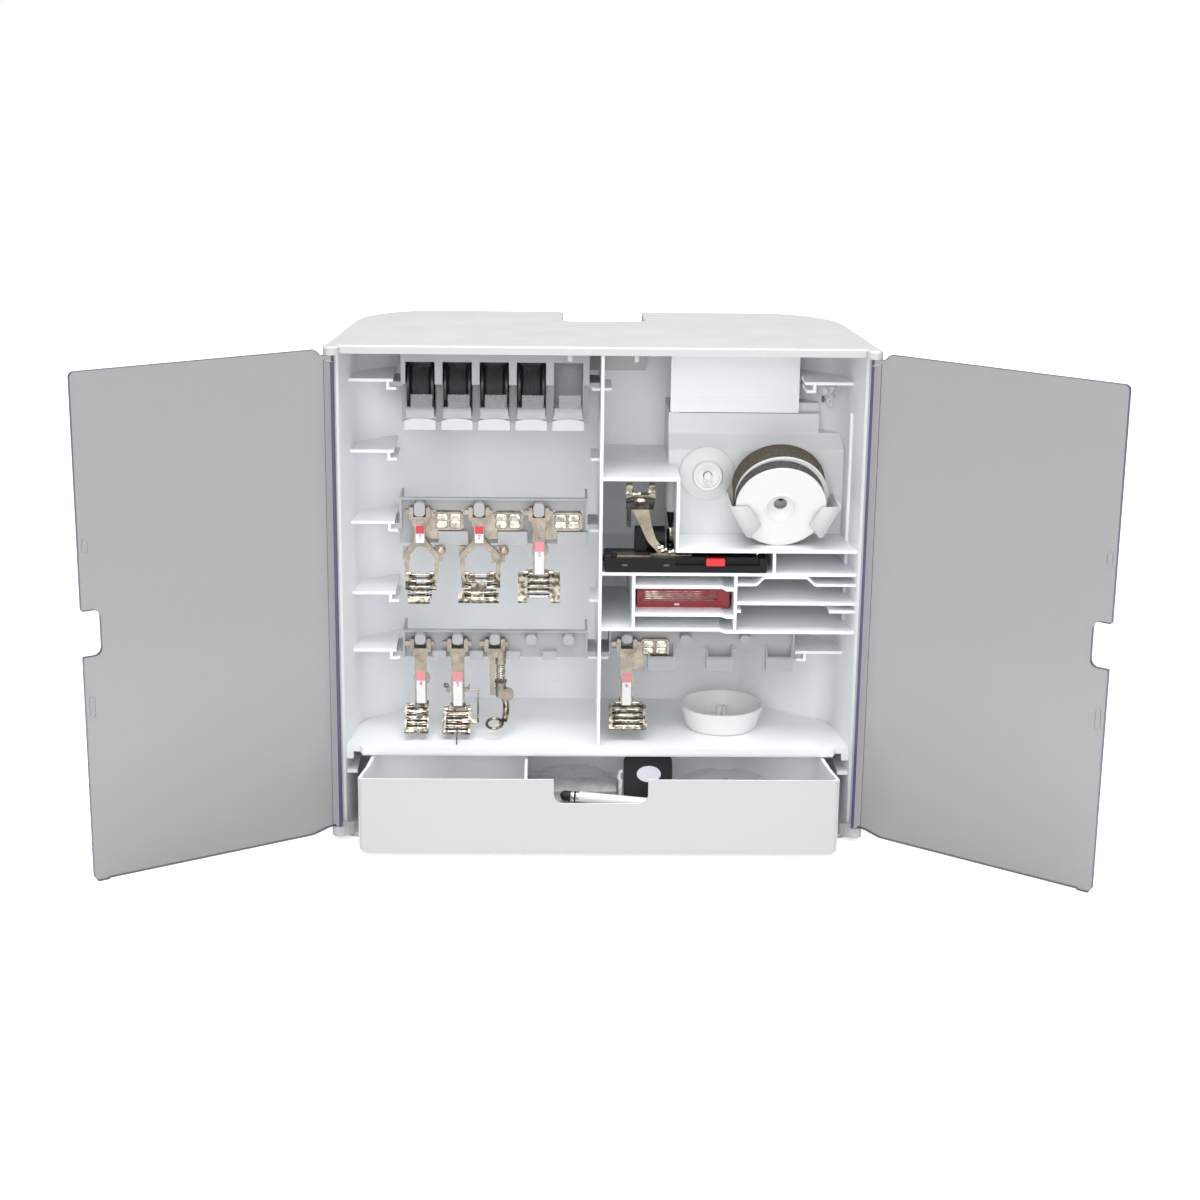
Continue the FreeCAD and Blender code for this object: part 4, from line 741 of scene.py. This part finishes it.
# Points of the strokes as shares of the numeral's width and height.
NUMERALS = (
    [(0.25, 0.75), (0.55, 1.0), (0.55, 0.0)],
    [(0.1, 0.8), (0.4, 1.0), (0.85, 0.85), (0.8, 0.55), (0.1, 0.0), (0.9, 0.0)],
    [(0.1, 0.9), (0.6, 1.0), (0.85, 0.75), (0.45, 0.53), (0.9, 0.28), (0.6, 0.0), (0.1, 0.08)],
    [(0.7, 0.0), (0.7, 1.0), (0.05, 0.3), (0.95, 0.3)],
    [(0.85, 1.0), (0.2, 1.0), (0.15, 0.58), (0.6, 0.62), (0.88, 0.32), (0.55, 0.0), (0.1, 0.08)],
    [(0.8, 0.95), (0.35, 0.75), (0.1, 0.3), (0.45, 0.0), (0.88, 0.25), (0.55, 0.55), (0.15, 0.4)],
)
# Middle and upper edge of each sole, and half its width.
SOLES = ((-109.5, 160.0, 7.4), (-72.6, 160.0, 9.6), (-37.3, 161.0, 6.8), (-112.2, 76.0, 6.4),
         (-87.4, 74.0, 7.0), (18.4, 78.0, 9.4))
SOLE_SLOPE = math.radians(40)
# Distances of the bright and dark rods down the slope of a sole: painted highlights and painted shade across it.
RODS = (("bright", "bright_metal", (1.4, 6.4, 10.6, 14.6, 18.4)), ("dark", "dark_steel_rods", (4.0, 8.6, 12.7, 16.6)))
# Middle of the peg and lower edge of the window frame of each foot with windows.
WINDOWS = ((-109.7, 187.0), (-73.6, 187.0), (-37.3, 187.0), (17.6, 106.8))
# Middle and height of the pivots, and their distance from the middle.
PIVOTS = ((-109.7, 160.6, 7.0), (-73.6, 160.8, 7.6), (-37.3, 161.6, 7.8), (-87.0, 73.0, 7.4))


def paint_sole_shade_and_highlights(nickel):
    """Painted shade and highlights on the soles, picked out by height: dark spots stand for the shade in their slots,
    bright spots for highlights on their edges.
    """
    vector = coordinates(nickel.node_tree)
    height = component(vector, "Z")
    upper = combine("MULTIPLY", mask(height, 0.1605, 0.1595), mask(height, 0.1420, 0.1430))
    zone = combine("MAXIMUM", upper, mask(height, 0.0780, 0.0770))
    slot_shade_and_edge_highlights = mask(noise(vector, 330.0, 1.0), 0.40, 0.62)
    # Dark spots are painted shade of the slots, bright spots painted highlights of the edges.
    paint_over(nickel, zone, blend(slot_shade_and_edge_highlights, (0.10, 0.088, 0.07), (0.46, 0.41, 0.33)))


def add_labels(look):
    """Thin labels with a plain numeral below the coloured field."""
    ink = plastic("numeral_ink", (0.30, 0.03, 0.09), 0.5, 3000.0, 0.00001, 0.1)
    for k, (left, right, bottom, top, share, deep) in enumerate(LABELS, 1):
        paint = look.label_red if deep else look.label_pink
        paper = printed_label("label_paper_%d" % k, tuple(paint), (0.80, 0.80, 0.82), 1 - share)
        middle, tall = (left + right) / 2, top - bottom
        path = line(at(middle, LABEL_DEPTH - 0.04, bottom), (0, 0, tall), 12)
        grid = swept(path, ((right - left) / 2, 0.07), BACK, 0.18, 20)
        put("foot_label_%d" % k, [grid], paper, "foot_nickel", smooth=False, uv=True)
        points = (np.array(NUMERALS[k - 1]) - (0.5, 0.0)) * (0.64, 1.0) * NUMERAL_HEIGHT
        base = top - tall * share - NUMERAL_HEIGHT - 0.5
        places = [at(middle + u, LABEL_DEPTH - 0.13, base + v) for u, v in points]
        stroke = swept(smooth_path(places, 30), (0.2, 0.06), BACK, sides=8)
        put("foot_numeral_%d" % k, [stroke], ink, "foot_nickel")


def add_rods():
    """Crosswise rods over the slopes of the soles, bright and dark by turns: painted highlights and painted shade
    across the slope.
    """
    down = np.array([0.0, -math.cos(SOLE_SLOPE), -math.sin(SOLE_SLOPE)])
    out = np.array([0.0, -math.sin(SOLE_SLOPE), math.cos(SOLE_SLOPE)])
    # The near-black rods are painted shade between the bright ones.
    plated("dark_steel_rods", (0.05, 0.045, 0.04), 0.25, 260.0, 0.5)
    for name, material, steps in RODS:
        rods = []
        for x, z, half in SOLES:
            for step in steps:
                start = at(x - half, 31.0, z) + (down * step + out * 0.45) * MM
                rods.append(swept(line(start, (2 * half, 0, 0), 8), 0.5, UP, sides=10))
        put("sole_rods_" + name, rods, material, "foot_nickel")


def add_facets():
    """Four low domes fill each pair of windows."""
    for k, (peg, low) in enumerate(WINDOWS, 1):
        domes = [
            pillow(at(peg + x, 32.75, low + z), (3.6, 0.7, 2.25), 0.5, 14, 24)
            for x in (13.35, 21.35) for z in (3.4, 7.9)
        ]
        put("sensor_facets_%d" % k, domes, "bright_metal", "foot_nickel")


def add_springs():
    """Darning spring round its post, and the small wire spring of the fifth foot."""
    centre, size = node_box("darning_spring")
    foot = centre - (0, 0, size[2] / 2)
    pitch = (size[2] / MM - 0.7) / 8.5
    path = helix(foot + mm(0, 0, 0.35), UP, 2.6, pitch, 8.5, 36)
    put("darning_coil", [swept(path, 0.34, UP, sides=10)], "bright_metal", "spring_steel", "darning_spring")
    ring = [(3.1, -1.3), (3.8, -1.3), (3.8, 0.1), (2.4, 0.1), (2.4, -0.1), (3.1, -0.2)]
    put("darning_collar", [turned(ring, foot, UP, 40, 0.2)], "dark_wire", "spring_steel", wrap_rows=True)
    loops = np.vstack([
        helix(at(-94.3, 29.0, 88.0), BACK, 1.3, 0.8, 2.2, 24),
        helix(at(-93.2, 30.6, 85.4), BACK, 1.0, -0.6, 1.6, 24),
        [at(-91.5, 30.4, 84.6), at(-88.0, 31.2, 84.9), at(-83.4, 30.4, 84.6)],
        helix(at(-81.0, 29.6, 85.6), BACK, 0.9, 0.6, 1.4, 24, math.pi),
        [at(-79.7, 29.2, 88.9), at(-79.2, 29.0, 90.2)],
    ])
    wire = swept(smooth_path(loops[::3], 260), 0.3, (0.1, 1, 0.2), sides=8)
    put("guide_spring", [wire], "dark_wire", "spring_steel")


def add_screws():
    """Turned screws on the side discs and pivot screws beside the soles."""
    knob = [(CORE, 1.6), (1.9, 1.5), (2.5, 0.9), (2.5, 0.0), (2.5, -0.6)]
    knobs = [turned(knob, at(x, 26.8, 175.4), (0.2, -1, 0.1), 28, 0.3) for x in (-96.7, -58.4)]
    put("side_screws", knobs, "nickel", "foot_nickel")
    pin = [(CORE, -1.6), (0.9, -1.6), (1.15, -1.3), (1.15, 1.3), (0.9, 1.6), (CORE, 1.6)]
    pins = [
        turned(pin, at(x + side * reach, 28.4, z), RIGHT, 20, 0.15)
        for x, z, reach in PIVOTS for side in (-1, 1)
    ]
    put("pivot_screws", pins, "bright_metal", "foot_nickel")


def add_trim():
    """Dark disc painted as the shade in the third foot's stem hole, red mark of the fifth, and the roller of the
    fourth.
    """
    dot = [(CORE, 0.1), (0.55, 0.1), (0.6, 0.0), (0.6, -0.2)]
    # Painted shade: a dark disc stands for the shade inside the small hole in the stem.
    put("stem_hole", [turned(dot, at(-37.0, 27.35, 183.8), TOWARDS, 20, 0.05)], "dark_wire", "foot_nickel")
    tag = pillow(at(-85.5, 20.9, 66.4), (1.1, 0.5, 1.0), 0.3, 12, 20)
    put("foot_tag", [tag], "numeral_ink", "foot_nickel")
    disc = [(CORE, -0.45), (2.2, -0.45), (2.2, 0.45), (CORE, 0.45)]
    discs = [turned(disc, at(-112.0 + 0.95 * k, 24.2, 69.6), RIGHT, 24, 0.1) for k in range(4)]
    put("foot_roller", discs, "dark_wire", "foot_nickel")


class SEWBOX_OT_feet(bpy.types.Operator):
    """Adds labels, bright facets, screws and springs to the presser feet"""

    bl_idname = "sewbox.feet"
    bl_label = "Dress presser feet"

    def execute(self, context):
        look = context.scene.sewing_box.tool
        nickel = plated("nickel", look.nickel, 0.26, 120.0, 0.24)
        plated("bright_metal", look.bright, 0.12, 260.0, 0.5)
        plated("dark_wire", (0.16, 0.15, 0.14), 0.3, 300.0, 0.4)
        dress(nickel, *("foot_%d" % k for k in range(1, 8)))
        paint_sole_shade_and_highlights(nickel)
        add_labels(look)
        add_facets()
        add_springs()
        add_screws()
        add_rods()
        add_trim()
        return {"FINISHED"}


BARREL = rounded(
    [(CORE, -1.9), (1.5, -1.9), (1.5, -0.5), (1.15, -0.3), (1.15, 0.3), (1.5, 0.5), (1.5, 1.9), (CORE, 1.9)], 0.25
)


def add_joints():
    """Collars, coil and end pin where the arm meets the sledge."""
    places = ((38.6, 13.0, 180.2), (42.9, 12.6, 179.4), (36.2, 12.6, 182.0))
    collars = [turned(BARREL, at(*place), (1, 0, 0.25), 24) for place in places]
    put("sledge_collars", collars, "bright_metal", "spring_steel")
    path = helix(at(45.0, 15.6, 179.6), (1, 0, -0.02), 1.35, 1.0, 8.5, 24)
    put("sledge_spring", [swept(path, 0.26, RIGHT, sides=8)], "bright_metal", "spring_steel")
    tip = [(CORE, 0.0), (1.1, 0.0), (1.1, 3.6), (0.6, 4.4), (CORE, 4.4)]
    end_pin = turned(tip, at(94.6, 12.5, 176.0), (0.1, -0.3, 1), 20, 0.3)
    put("sledge_end_pin", [end_pin], "bright_metal", "spring_steel")


def add_clamp(dark, black):
    """Clamp plate on the arm with its screw and studs, the block and the strap behind the arm."""
    outline = [(15.2, 205.9), (31.6, 205.9), (32.6, 212.4), (28.0, 213.6), (19.0, 213.6), (15.0, 212.4)]
    head = [(CORE, 1.2), (1.9, 1.2), (2.3, 0.5), (2.3, -0.6)]
    clamp = [plate(outline, 10.6, 1.3, 0.4), turned(head, at(23.8, 10.2, 211.0), TOWARDS, 28)]
    put("sledge_clamp", clamp, dark, "spring_steel")
    studs = [
        turned(BARREL * [1.25, 1.1], at(17.0, 11.6, 216.4), (0.9, -0.4, 0.1), 24),
        turned(BARREL * [1.2, 1.2], at(30.4, 11.6, 217.6), (0.9, -0.3, 0.2), 24),
        turned(BARREL * [0.8, 1.3], at(21.2, 10.9, 215.6), (1, 0, 0.1), 24),
        pillow(at(23.8, 9.2, 212.0), (2.6, 0.35, 1.0), 0.6, 12, 24),
    ]
    put("sledge_studs", studs, "bright_metal", "spring_steel")
    block = pillow(at(24.4, 21.8, 185.2), (3.7, 3.5, 7.6), 0.2, 28, 40)
    put("sledge_block", [block], black, "bobbin_black")
    strap = pillow(at(17.0, 18.4, 201.4), (1.3, 0.9, 8.2), 0.25, 20, 24)
    put("sledge_strap", [strap], dark, "spring_steel")


def add_punch(black):
    """Upright hole punch behind the sledge: steel foot, dark cone and white tube."""
    steel = [(CORE, 0.0), (3.2, 0.0), (3.2, 20.6), (2.6, 21.4), (CORE, 21.5)]
    cone = [(CORE, 21.3), (1.2, 21.3), (2.6, 31.2), (CORE, 31.6)]
    tube = [(CORE, 31.0), (3.0, 31.0), (3.3, 32.2), (3.3, 54.0), (CORE, 54.4)]
    for name, profile, rounding, material, finish in (
        ("punch_foot", steel, 0.4, "bright_metal", "foot_nickel"), ("punch_cone", cone, 0.3, black, "bobbin_black"),
        ("punch_tube", tube, 0.3, "case_plastic", "case_white"),
    ):
        put(name, [turned(profile, at(43.3, 36.0, 168.0), UP, 36, rounding)], material, finish)


class SEWBOX_OT_sledge(bpy.types.Operator):
    """Finishes the sledge foot and adds its clamp, collars, small spring and block, and the hole punch"""

    bl_idname = "sewbox.sledge"
    bl_label = "Dress sledge foot"

    def execute(self, context):
        look = context.scene.sewing_box.tool
        black = plastic("sledge_plastic", look.gloss_black, 0.38, 1500.0, 0.00003, 0.15, 0.2)
        dress(black, "sledge_frame", "sledge_wheel")
        dress(plastic("slider_plastic", look.slider_red, 0.3, 1500.0, 0.00002, 0.06), "sledge_slider")
        dress(plated("arm_steel", (0.36, 0.32, 0.24), 0.34, 70.0, 0.28), "sledge_arm")
        add_joints()
        add_clamp(plated("dark_steel", (0.07, 0.065, 0.055), 0.22, 260.0, 0.6), black)
        ends = [
            pillow(at(4.6, 9.6, 176.4), (3.4, 2.6, 2.6), 0.5, 18, 28),
            pillow(at(8.4, 9.2, 178.2), (1.5, 2.2, 1.3), 0.5, 14, 24),
            pillow(at(50.0, 13.6, 178.5), (5.0, 2.4, 0.9), 0.4, 14, 28),
        ]
        put("sledge_ends", ends, black, "bobbin_black")
        marks = [pillow(at(x, 6.75, 172.4), (1.8, 0.14, 0.6), 0.4, 8, 16) for x in (14.6, 39.8)]
        put("sledge_marks", marks, plastic("mark_grey", (0.09, 0.09, 0.09), 0.5), "bobbin_black")
        add_punch(black)
        return {"FINISHED"}


class SEWBOX_OT_needles(bpy.types.Operator):
    """Adds the clear red lid, the needles and the latch of the needle case"""

    bl_idname = "sewbox.needles"
    bl_label = "Build needle case"

    def execute(self, context):
        look = context.scene.sewing_box.tool
        dress(plastic("needle_case_plastic", look.case_red, 0.22, 900.0, 0.00002, 0.15), "needle_case")
        lid, shader, vector = new_material("needle_lid_plastic", (1.0, 1.0, 4.0))
        streaks = noise(vector, 60.0, 2.0)
        tint = blend(streaks, (0.36, 0.04, 0.06), (0.58, 0.19, 0.22))
        gloss = spread(noise(vector, 200.0), 0.05, 0.15)
        feed(shader, tint, gloss, streaks, 0.1, 0.0002, spread(streaks, 0.12, 0.34))
        window = pillow(at(48.2, 20.2, 150.0), (23.7, 0.35, 3.05), 0.16, 16, 40)
        put("needle_lid", [window], lid, "needle_red")
        length, steps = 38.0, 30
        # Radius along a needle: blunt end, thick shank, taper, blade and point.
        shank = ([0, 0.4, 10.5, 12.0, 34, length], [0.2, 0.5, 0.5, 0.26, 0.22, 0.03])
        radius = np.interp(np.linspace(0, length, steps), *shank)
        needles = [
            swept(line(at(27.0, 20.75, 147.6 + row * 1.15), (length, 0, 0), steps), radius, UP, sides=8)
            for row in range(5)
        ]
        put("needles", needles, "bright_metal", "spring_steel")
        bar = pillow(at(48.2, 19.8, 146.9), (23.2, 0.25, 0.3), 0.25, 10, 28)
        put("needle_bar", [bar], "dark_wire", "needle_red")
        latch = pillow(at(47.3, 19.95, 144.2), (1.5, 0.2, 0.55), 0.2, 10, 20)
        put("needle_latch", [latch], "key_plastic", "key_white")
        return {"FINISHED"}


FOAM_LEAN = math.radians(20.0)
FOAMS = (
    # node, finish, colour setting, colour of the specks, radius, radius of the bore, thickness, seed
    ("foam_pad_dark", "foam_charcoal", "foam_dark", (0.24, 0.235, 0.25), 27.0, 9.8, 9.0, 11),
    ("foam_pad_olive", "foam_olive", "foam_olive", (0.19, 0.16, 0.11), 28.4, 3.0, 14.3, 12),
)
PEG = 65.4


def roughened(profile, centre, grain, seed):
    """Profile turned about the leaning axis with its radius and height shaken by seeded sine waves."""
    lengths = np.concatenate([[0], np.cumsum(np.linalg.norm(np.diff(profile, axis=0), axis=1))])
    even = np.linspace(0, lengths[-1], 76)
    profile = np.column_stack([np.interp(even, lengths, profile[:, i]) for i in (0, 1)])
    side, up, along = axes_along((0.0, math.cos(FOAM_LEAN), math.sin(FOAM_LEAN)))
    turn = ring_angles(300)[None, :]
    place = np.linspace(0, 2 * np.pi, len(profile))[:, None]
    out = profile[:, 0, None] * 0.996 + waves(place, turn, seed, 14, 40) * grain
    height = profile[:, 1, None] * 0.98 + waves(place, turn, seed + 50, 14, 40) * grain * 0.7
    ring = np.cos(turn)[..., None] * side + np.sin(turn)[..., None] * up
    return centre + out[..., None] * MM * ring + height[..., None] * MM * along


def add_prong(white):
    """Two curved barbs that leave a gap, and a stem between them."""
    reach = np.interp(np.linspace(0, 1, 24), [0, 0.5, 1], [0.5, 0.75, 0.45])
    bends = ((0.5, 36.0, 223.6), (0.7, 34.4, 221.0), (1.4, 33.8, 218.8), (2.6, 34.2, 217.9))
    shells = []
    for side in (-1, 1):
        path = smooth_path([at(PEG + side * x, depth, z) for x, depth, z in bends], 24)
        shells.append(swept(path, reach, BACK))
    shells.append(pillow(at(PEG, 36.2, 220.6), (1.9, 2.6, 2.3), 0.6, 16, 28))
    shells.append(pillow(at(PEG, 34.4, 217.2), (0.9, 0.8, 0.9), 0.8, 12, 20))
    put("peg_prong", shells, white, "case_white")


class SEWBOX_OT_discs(bpy.types.Operator):
    """Builds the rough foam discs and finishes the spool discs, the pocket's flaps and the peg's split tip"""

    bl_idname = "sewbox.discs"
    bl_label = "Build spool discs"

    def execute(self, context):
        look = context.scene.sewing_box.tool
        white = plastic("disc_plastic", (0.80, 0.80, 0.785), 0.36, 2600.0, 0.00002)
        dress(white, "cone_disc", "large_disc", "thin_disc", "dish_disc")
        for node, finish, setting, speck, radius, bore, thick, seed in FOAMS:
            half, inner = thick / 2, bore + 0.3
            profile = [(bore, 0.3 - half), (inner, -half), (radius - 0.4, -half), (radius, 0.5 - half)]
            profile += [(radius, half - 0.5), (radius - 0.4, half), (inner, half), (bore, half - 0.3)]
            grid = roughened(rounded(profile, 0.5, 6), node_box(node)[0], look.foam_grain / MM, seed)
            material = open_foam(finish, tuple(getattr(look, setting)), speck)
            foam = put(finish + "_disc", [grid], material, finish, node, wrap_rows=True)
        add_prong(white)
        flaps = (
            [(76.7, 209.3), (88.4, 209.3), (96.3, 198.0), (90.1, 189.6), (87.4, 190.5)],
            [(144.2, 209.3), (132.6, 209.3), (125.1, 198.2), (131.2, 190.3), (133.6, 190.5)],
        )
        put("pocket_flaps", [plate(corners, 6.3, 1.3) for corners in flaps], "case_plastic", "case_white")
        return {"FINISHED"}


STYLUS_TIP = (-23.2, -7.0, 29.75)
STYLUS_REACH = (51.0, -13.0, 0.0)
STYLUS_RADIUS = 3.15
CARD_FOOT = (30.8, -11.5, 5.3)
CARD_LEAN = math.radians(24.0)
# Middle and half sizes of the film pouches at the back and behind the notch, and their seeds.
POUCHES = (
    ((80.0, 31.5, 19.9), (32.0, 11.0, 14.2), 24),
    ((-14.5, 40.2, 19.6), (27.5, 5.4, 14.0), 25),
    ((-15.0, 15.6, 29.9), (26.5, 16.8, 3.3), 26),
)


def in_drawer(name, shells, material, finish, node=None, **form):
    return put(name, shells, material, finish, node, "drawer", **form)


def spin(profile, rounding=0.0):
    return turned(profile, at(*STYLUS_TIP), STYLUS_REACH, 40, rounding)


def add_stylus():
    """Profiles turned about the stylus's axis: rubber dome, two rings with a band between them, and body."""
    rubber = plastic("stylus_rubber", (0.012, 0.012, 0.012), 0.55, 2000.0, 0.00004, 0.2)
    chrome = plated("stylus_chrome", (0.86, 0.86, 0.86), 0.07, 200.0, 0.06)
    white = plastic("stylus_paint", (0.82, 0.81, 0.80), 0.2, 1500.0, 0.000008)

    angle = np.linspace(0, np.pi / 2, 9)
    dome = np.column_stack([STYLUS_RADIUS * np.sin(angle) + CORE, STYLUS_RADIUS * (1 - np.cos(angle))])
    dome = np.vstack([dome, [(STYLUS_RADIUS, 5.2), (3.0, 6.9), (CORE, 6.9)]])
    in_drawer("stylus_dome", [spin(dome)], rubber, "rubber_black", "stylus_tip")
    ends = ((7.0, 9.15), (10.25, 12.2))
    rings = [spin([(CORE, low), (3.4, low), (3.4, high), (CORE, high)], 0.15) for low, high in ends]
    in_drawer("stylus_rings", rings, chrome, "foot_nickel")
    band = [(CORE, 9.1), (STYLUS_RADIUS, 9.1), (STYLUS_RADIUS, 10.3), (CORE, 10.3)]
    in_drawer("stylus_band", [spin(band)], rubber, "rubber_black")
    body = [(CORE, 12.2), (3.35, 12.2), (3.4, 20.0), (3.3, 70.0), (2.9, 78.0), (2.3, 83.8), (CORE, 84.2)]
    in_drawer("stylus_body", [spin(body, 0.4)], white, "stylus_white", "stylus_barrel")


def add_card():
    """The leaning card with rounded corners, and its pale oval."""
    up = np.array([0.0, math.sin(CARD_LEAN), math.cos(CARD_LEAN)])
    out = np.array([0.0, -math.cos(CARD_LEAN), math.sin(CARD_LEAN)])
    foot = at(*CARD_FOOT)
    black = plastic("card_print", (0.010, 0.010, 0.011), 0.4, 500.0, 0.00002, 0.2, 0.15)
    path = line(foot + (up * 24.4 - out * 0.42) * MM, out * 0.84, 6)
    card = [swept(path, (15.1, 24.2), up, 0.12, 64)]
    in_drawer("printed_card", card, black, "card_black", "leaning_card", smooth=False)
    pale = plastic("card_oval_print", (0.60, 0.61, 0.66), 0.4, 900.0, 0.00002, 0.05)
    path = line(foot + mm(0.6, 0, 0) + (up * 37.6 + out * 0.35) * MM, out * 0.15, 3)
    in_drawer("card_oval", [swept(path, (7.4, 5.0), up, 1.0, 48)], pale, "card_black", smooth=False)


def pouch(centre, half, seed):
    """Bag of film: a lens-shaped ring whose height falls to both ends and ripples by seeded waves."""
    v = np.linspace(-1, 1, 60)[:, None]
    angle = ring_angles(90)[None, :]
    fall = np.clip(1 - np.abs(v) ** 3.5, 0.015, 1)
    ripple = 1 + 0.22 * waves(v * 3.0, angle, seed, 8, 2.2)
    x = v * np.ones_like(angle)
    y = signed_power(np.cos(angle), 0.7) * (0.96 + 0.04 * ripple)
    z = signed_power(np.sin(angle), 1.3) * fall * np.clip(ripple * 0.85, 0.4, 1.0)
    return centre + np.stack([x, y, z], axis=-1) * mm(*half)


def crinkle(centre, half, seed):
    """Crumpled strip of film: an upright ellipse ring whose half axes jump with the size of seeded waves."""
    v = np.linspace(-1, 1, 60)[:, None]
    angle = ring_angles(48)[None, :]
    fold = 0.55 + 0.9 * np.abs(waves(v * 7, angle, seed, 7, 1.6))
    drift = 0.8 * waves(v * 5, v, seed + 3, 5, 1.5)
    grid = [np.cos(angle) * fold + drift, np.sin(angle) * fold, v * np.ones_like(angle)]
    return centre + np.stack(grid, axis=-1) * mm(*half)


def add_insert(centre):
    """The folded sheet and small tubes inside the pouch."""
    paper = plastic("insert_paper", (0.74, 0.75, 0.78), 0.6, 900.0, 0.00003, 0.05)
    sheet = pillow(centre + mm(-8, 2, 0), (24.0, 15.0, 1.0), 0.25)
    in_drawer("pouch_sheet", [sheet], paper, "clear_plastic")
    brass = plated("insert_metal", (0.55, 0.45, 0.30), 0.3)
    starts = [centre + mm(4 + 3 * k, 4 * k - 8, 3) for k in range(3)]
    rods = [swept(line(start, (22, 6, -1), 14), 1.2, UP) for start in starts]
    in_drawer("pouch_rods", rods, brass, "clear_plastic")


class SEWBOX_OT_drawer(bpy.types.Operator):
    """Builds the stylus, the card with its oval and the film pouches, and finishes the clear case"""

    bl_idname = "sewbox.drawer"
    bl_label = "Fill drawer"

    def execute(self, context):
        add_stylus()
        add_card()
        dress(clear_film("clear_case_plastic", (0.95, 0.95, 0.95), 0.3, 70.0, 0.0004), "clear_case")
        film = clear_film("pouch_film", (1.0, 1.0, 1.0), 0.20, 55.0, 0.0015)
        pouches = [pouch(at(*place), half, seed) for place, half, seed in POUCHES]
        in_drawer("film_pouches", pouches, film, "clear_plastic")
        white = clear_film("crinkled_film", (0.92, 0.92, 0.93), 0.75, 240.0, 0.002)
        in_drawer("film_crinkle", [crinkle(at(13.4, -8.4, 29.0), (1.7, 2.4, 17.5), 41)], white, "clear_plastic")
        centre, size = node_box("parts_bag")
        bag = pouch(centre, size / MM / 2 * [0.99, 0.98, 0.96], 21)
        in_drawer("film_pouch", [bag], film, "clear_plastic", "parts_bag")
        add_insert(centre)
        return {"FINISHED"}


class SEWBOX_OT_small_bag(bpy.types.Operator):
    """Builds the crumpled clear bag at the upper right: a sagging ellipse ring, narrow below, with seeded folds"""

    bl_idname = "sewbox.small_bag"
    bl_label = "Build small bag"

    def execute(self, context):
        film = clear_film("crumpled_film", (0.80, 0.82, 0.86), 0.62, 260.0, 0.003)
        centre, size = node_box("small_bag")
        v = np.linspace(-1, 1, 56)[:, None]
        angle = ring_angles(72)[None, :]
        narrow = np.interp(v, [-1, -0.9, 0.5, 1], [0.12, 0.32, 0.95, 0.9])
        fold = np.clip(0.6 + 1.1 * np.abs(waves(v * 4.0, angle, 31, 7, 1.8)), 0.4, 1.0)
        x = np.cos(angle) * narrow * fold + 0.55 * (0.9 - narrow)
        y = np.sin(angle) * (0.4 + 0.6 * narrow) * fold
        grid = centre + np.stack([x, y, v * np.ones_like(angle)], axis=-1) * size / 2
        put("small_film_bag", [grid], film, "clear_plastic", "small_bag")
        # Three dark lumps in the bag are painted dark reflections on its crumpled film.
        places = ((-2.2, 0, -3), (0, 0, -1.5), (2.2, 0, -3))
        parts = [pillow(centre + mm(*place), (1.0, 1.0, 2.2), 0.8, 12, 16) for place in places]
        put("small_bag_parts", parts, "dark_wire", "foot_nickel")
        return {"FINISHED"}


class SEWBOX_PT_panel(bpy.types.Panel):
    """Sizes, colours and building steps of the accessory box"""

    bl_idname = "SEWBOX_PT_panel"
    bl_label = "Accessory box"
    bl_space_type = "VIEW_3D"
    bl_region_type = "UI"
    bl_category = "Accessory box"

    def draw(self, context):
        for group in ("case", "sheet", "tool", "stage"):
            block = self.layout.box()
            look = getattr(context.scene.sewing_box, group)
            block.label(text=look.bl_rna.description)
            for key in look.__annotations__:
                block.prop(look, key)
        for step in STEPS:
            self.layout.operator(step.bl_idname)


GROUPS = (CaseLook, SheetLook, ToolLook, StageLook, BoxSettings)
STEPS = (
    SEWBOX_OT_stage, SEWBOX_OT_case, SEWBOX_OT_doors, SEWBOX_OT_bobbins, SEWBOX_OT_feet, SEWBOX_OT_sledge,
    SEWBOX_OT_needles, SEWBOX_OT_discs, SEWBOX_OT_drawer, SEWBOX_OT_small_bag,
)


def register():
    for item in (*GROUPS, *STEPS, SEWBOX_PT_panel):
        bpy.utils.register_class(item)
    bpy.types.Scene.sewing_box = PointerProperty(type=BoxSettings, name="Accessory box", description="Settings")


def unregister():
    del bpy.types.Scene.sewing_box
    for item in (SEWBOX_PT_panel, *reversed(STEPS), *reversed(GROUPS)):
        bpy.utils.unregister_class(item)


def main():
    register()
    bpy.ops.sewbox.stage()
    bpy.ops.sewbox.case()
    bpy.ops.sewbox.doors()
    bpy.ops.sewbox.bobbins()
    bpy.ops.sewbox.feet()
    bpy.ops.sewbox.sledge()
    bpy.ops.sewbox.needles()
    bpy.ops.sewbox.discs()
    bpy.ops.sewbox.drawer()
    bpy.ops.sewbox.small_bag()


if __name__ == "__main__":
    main()
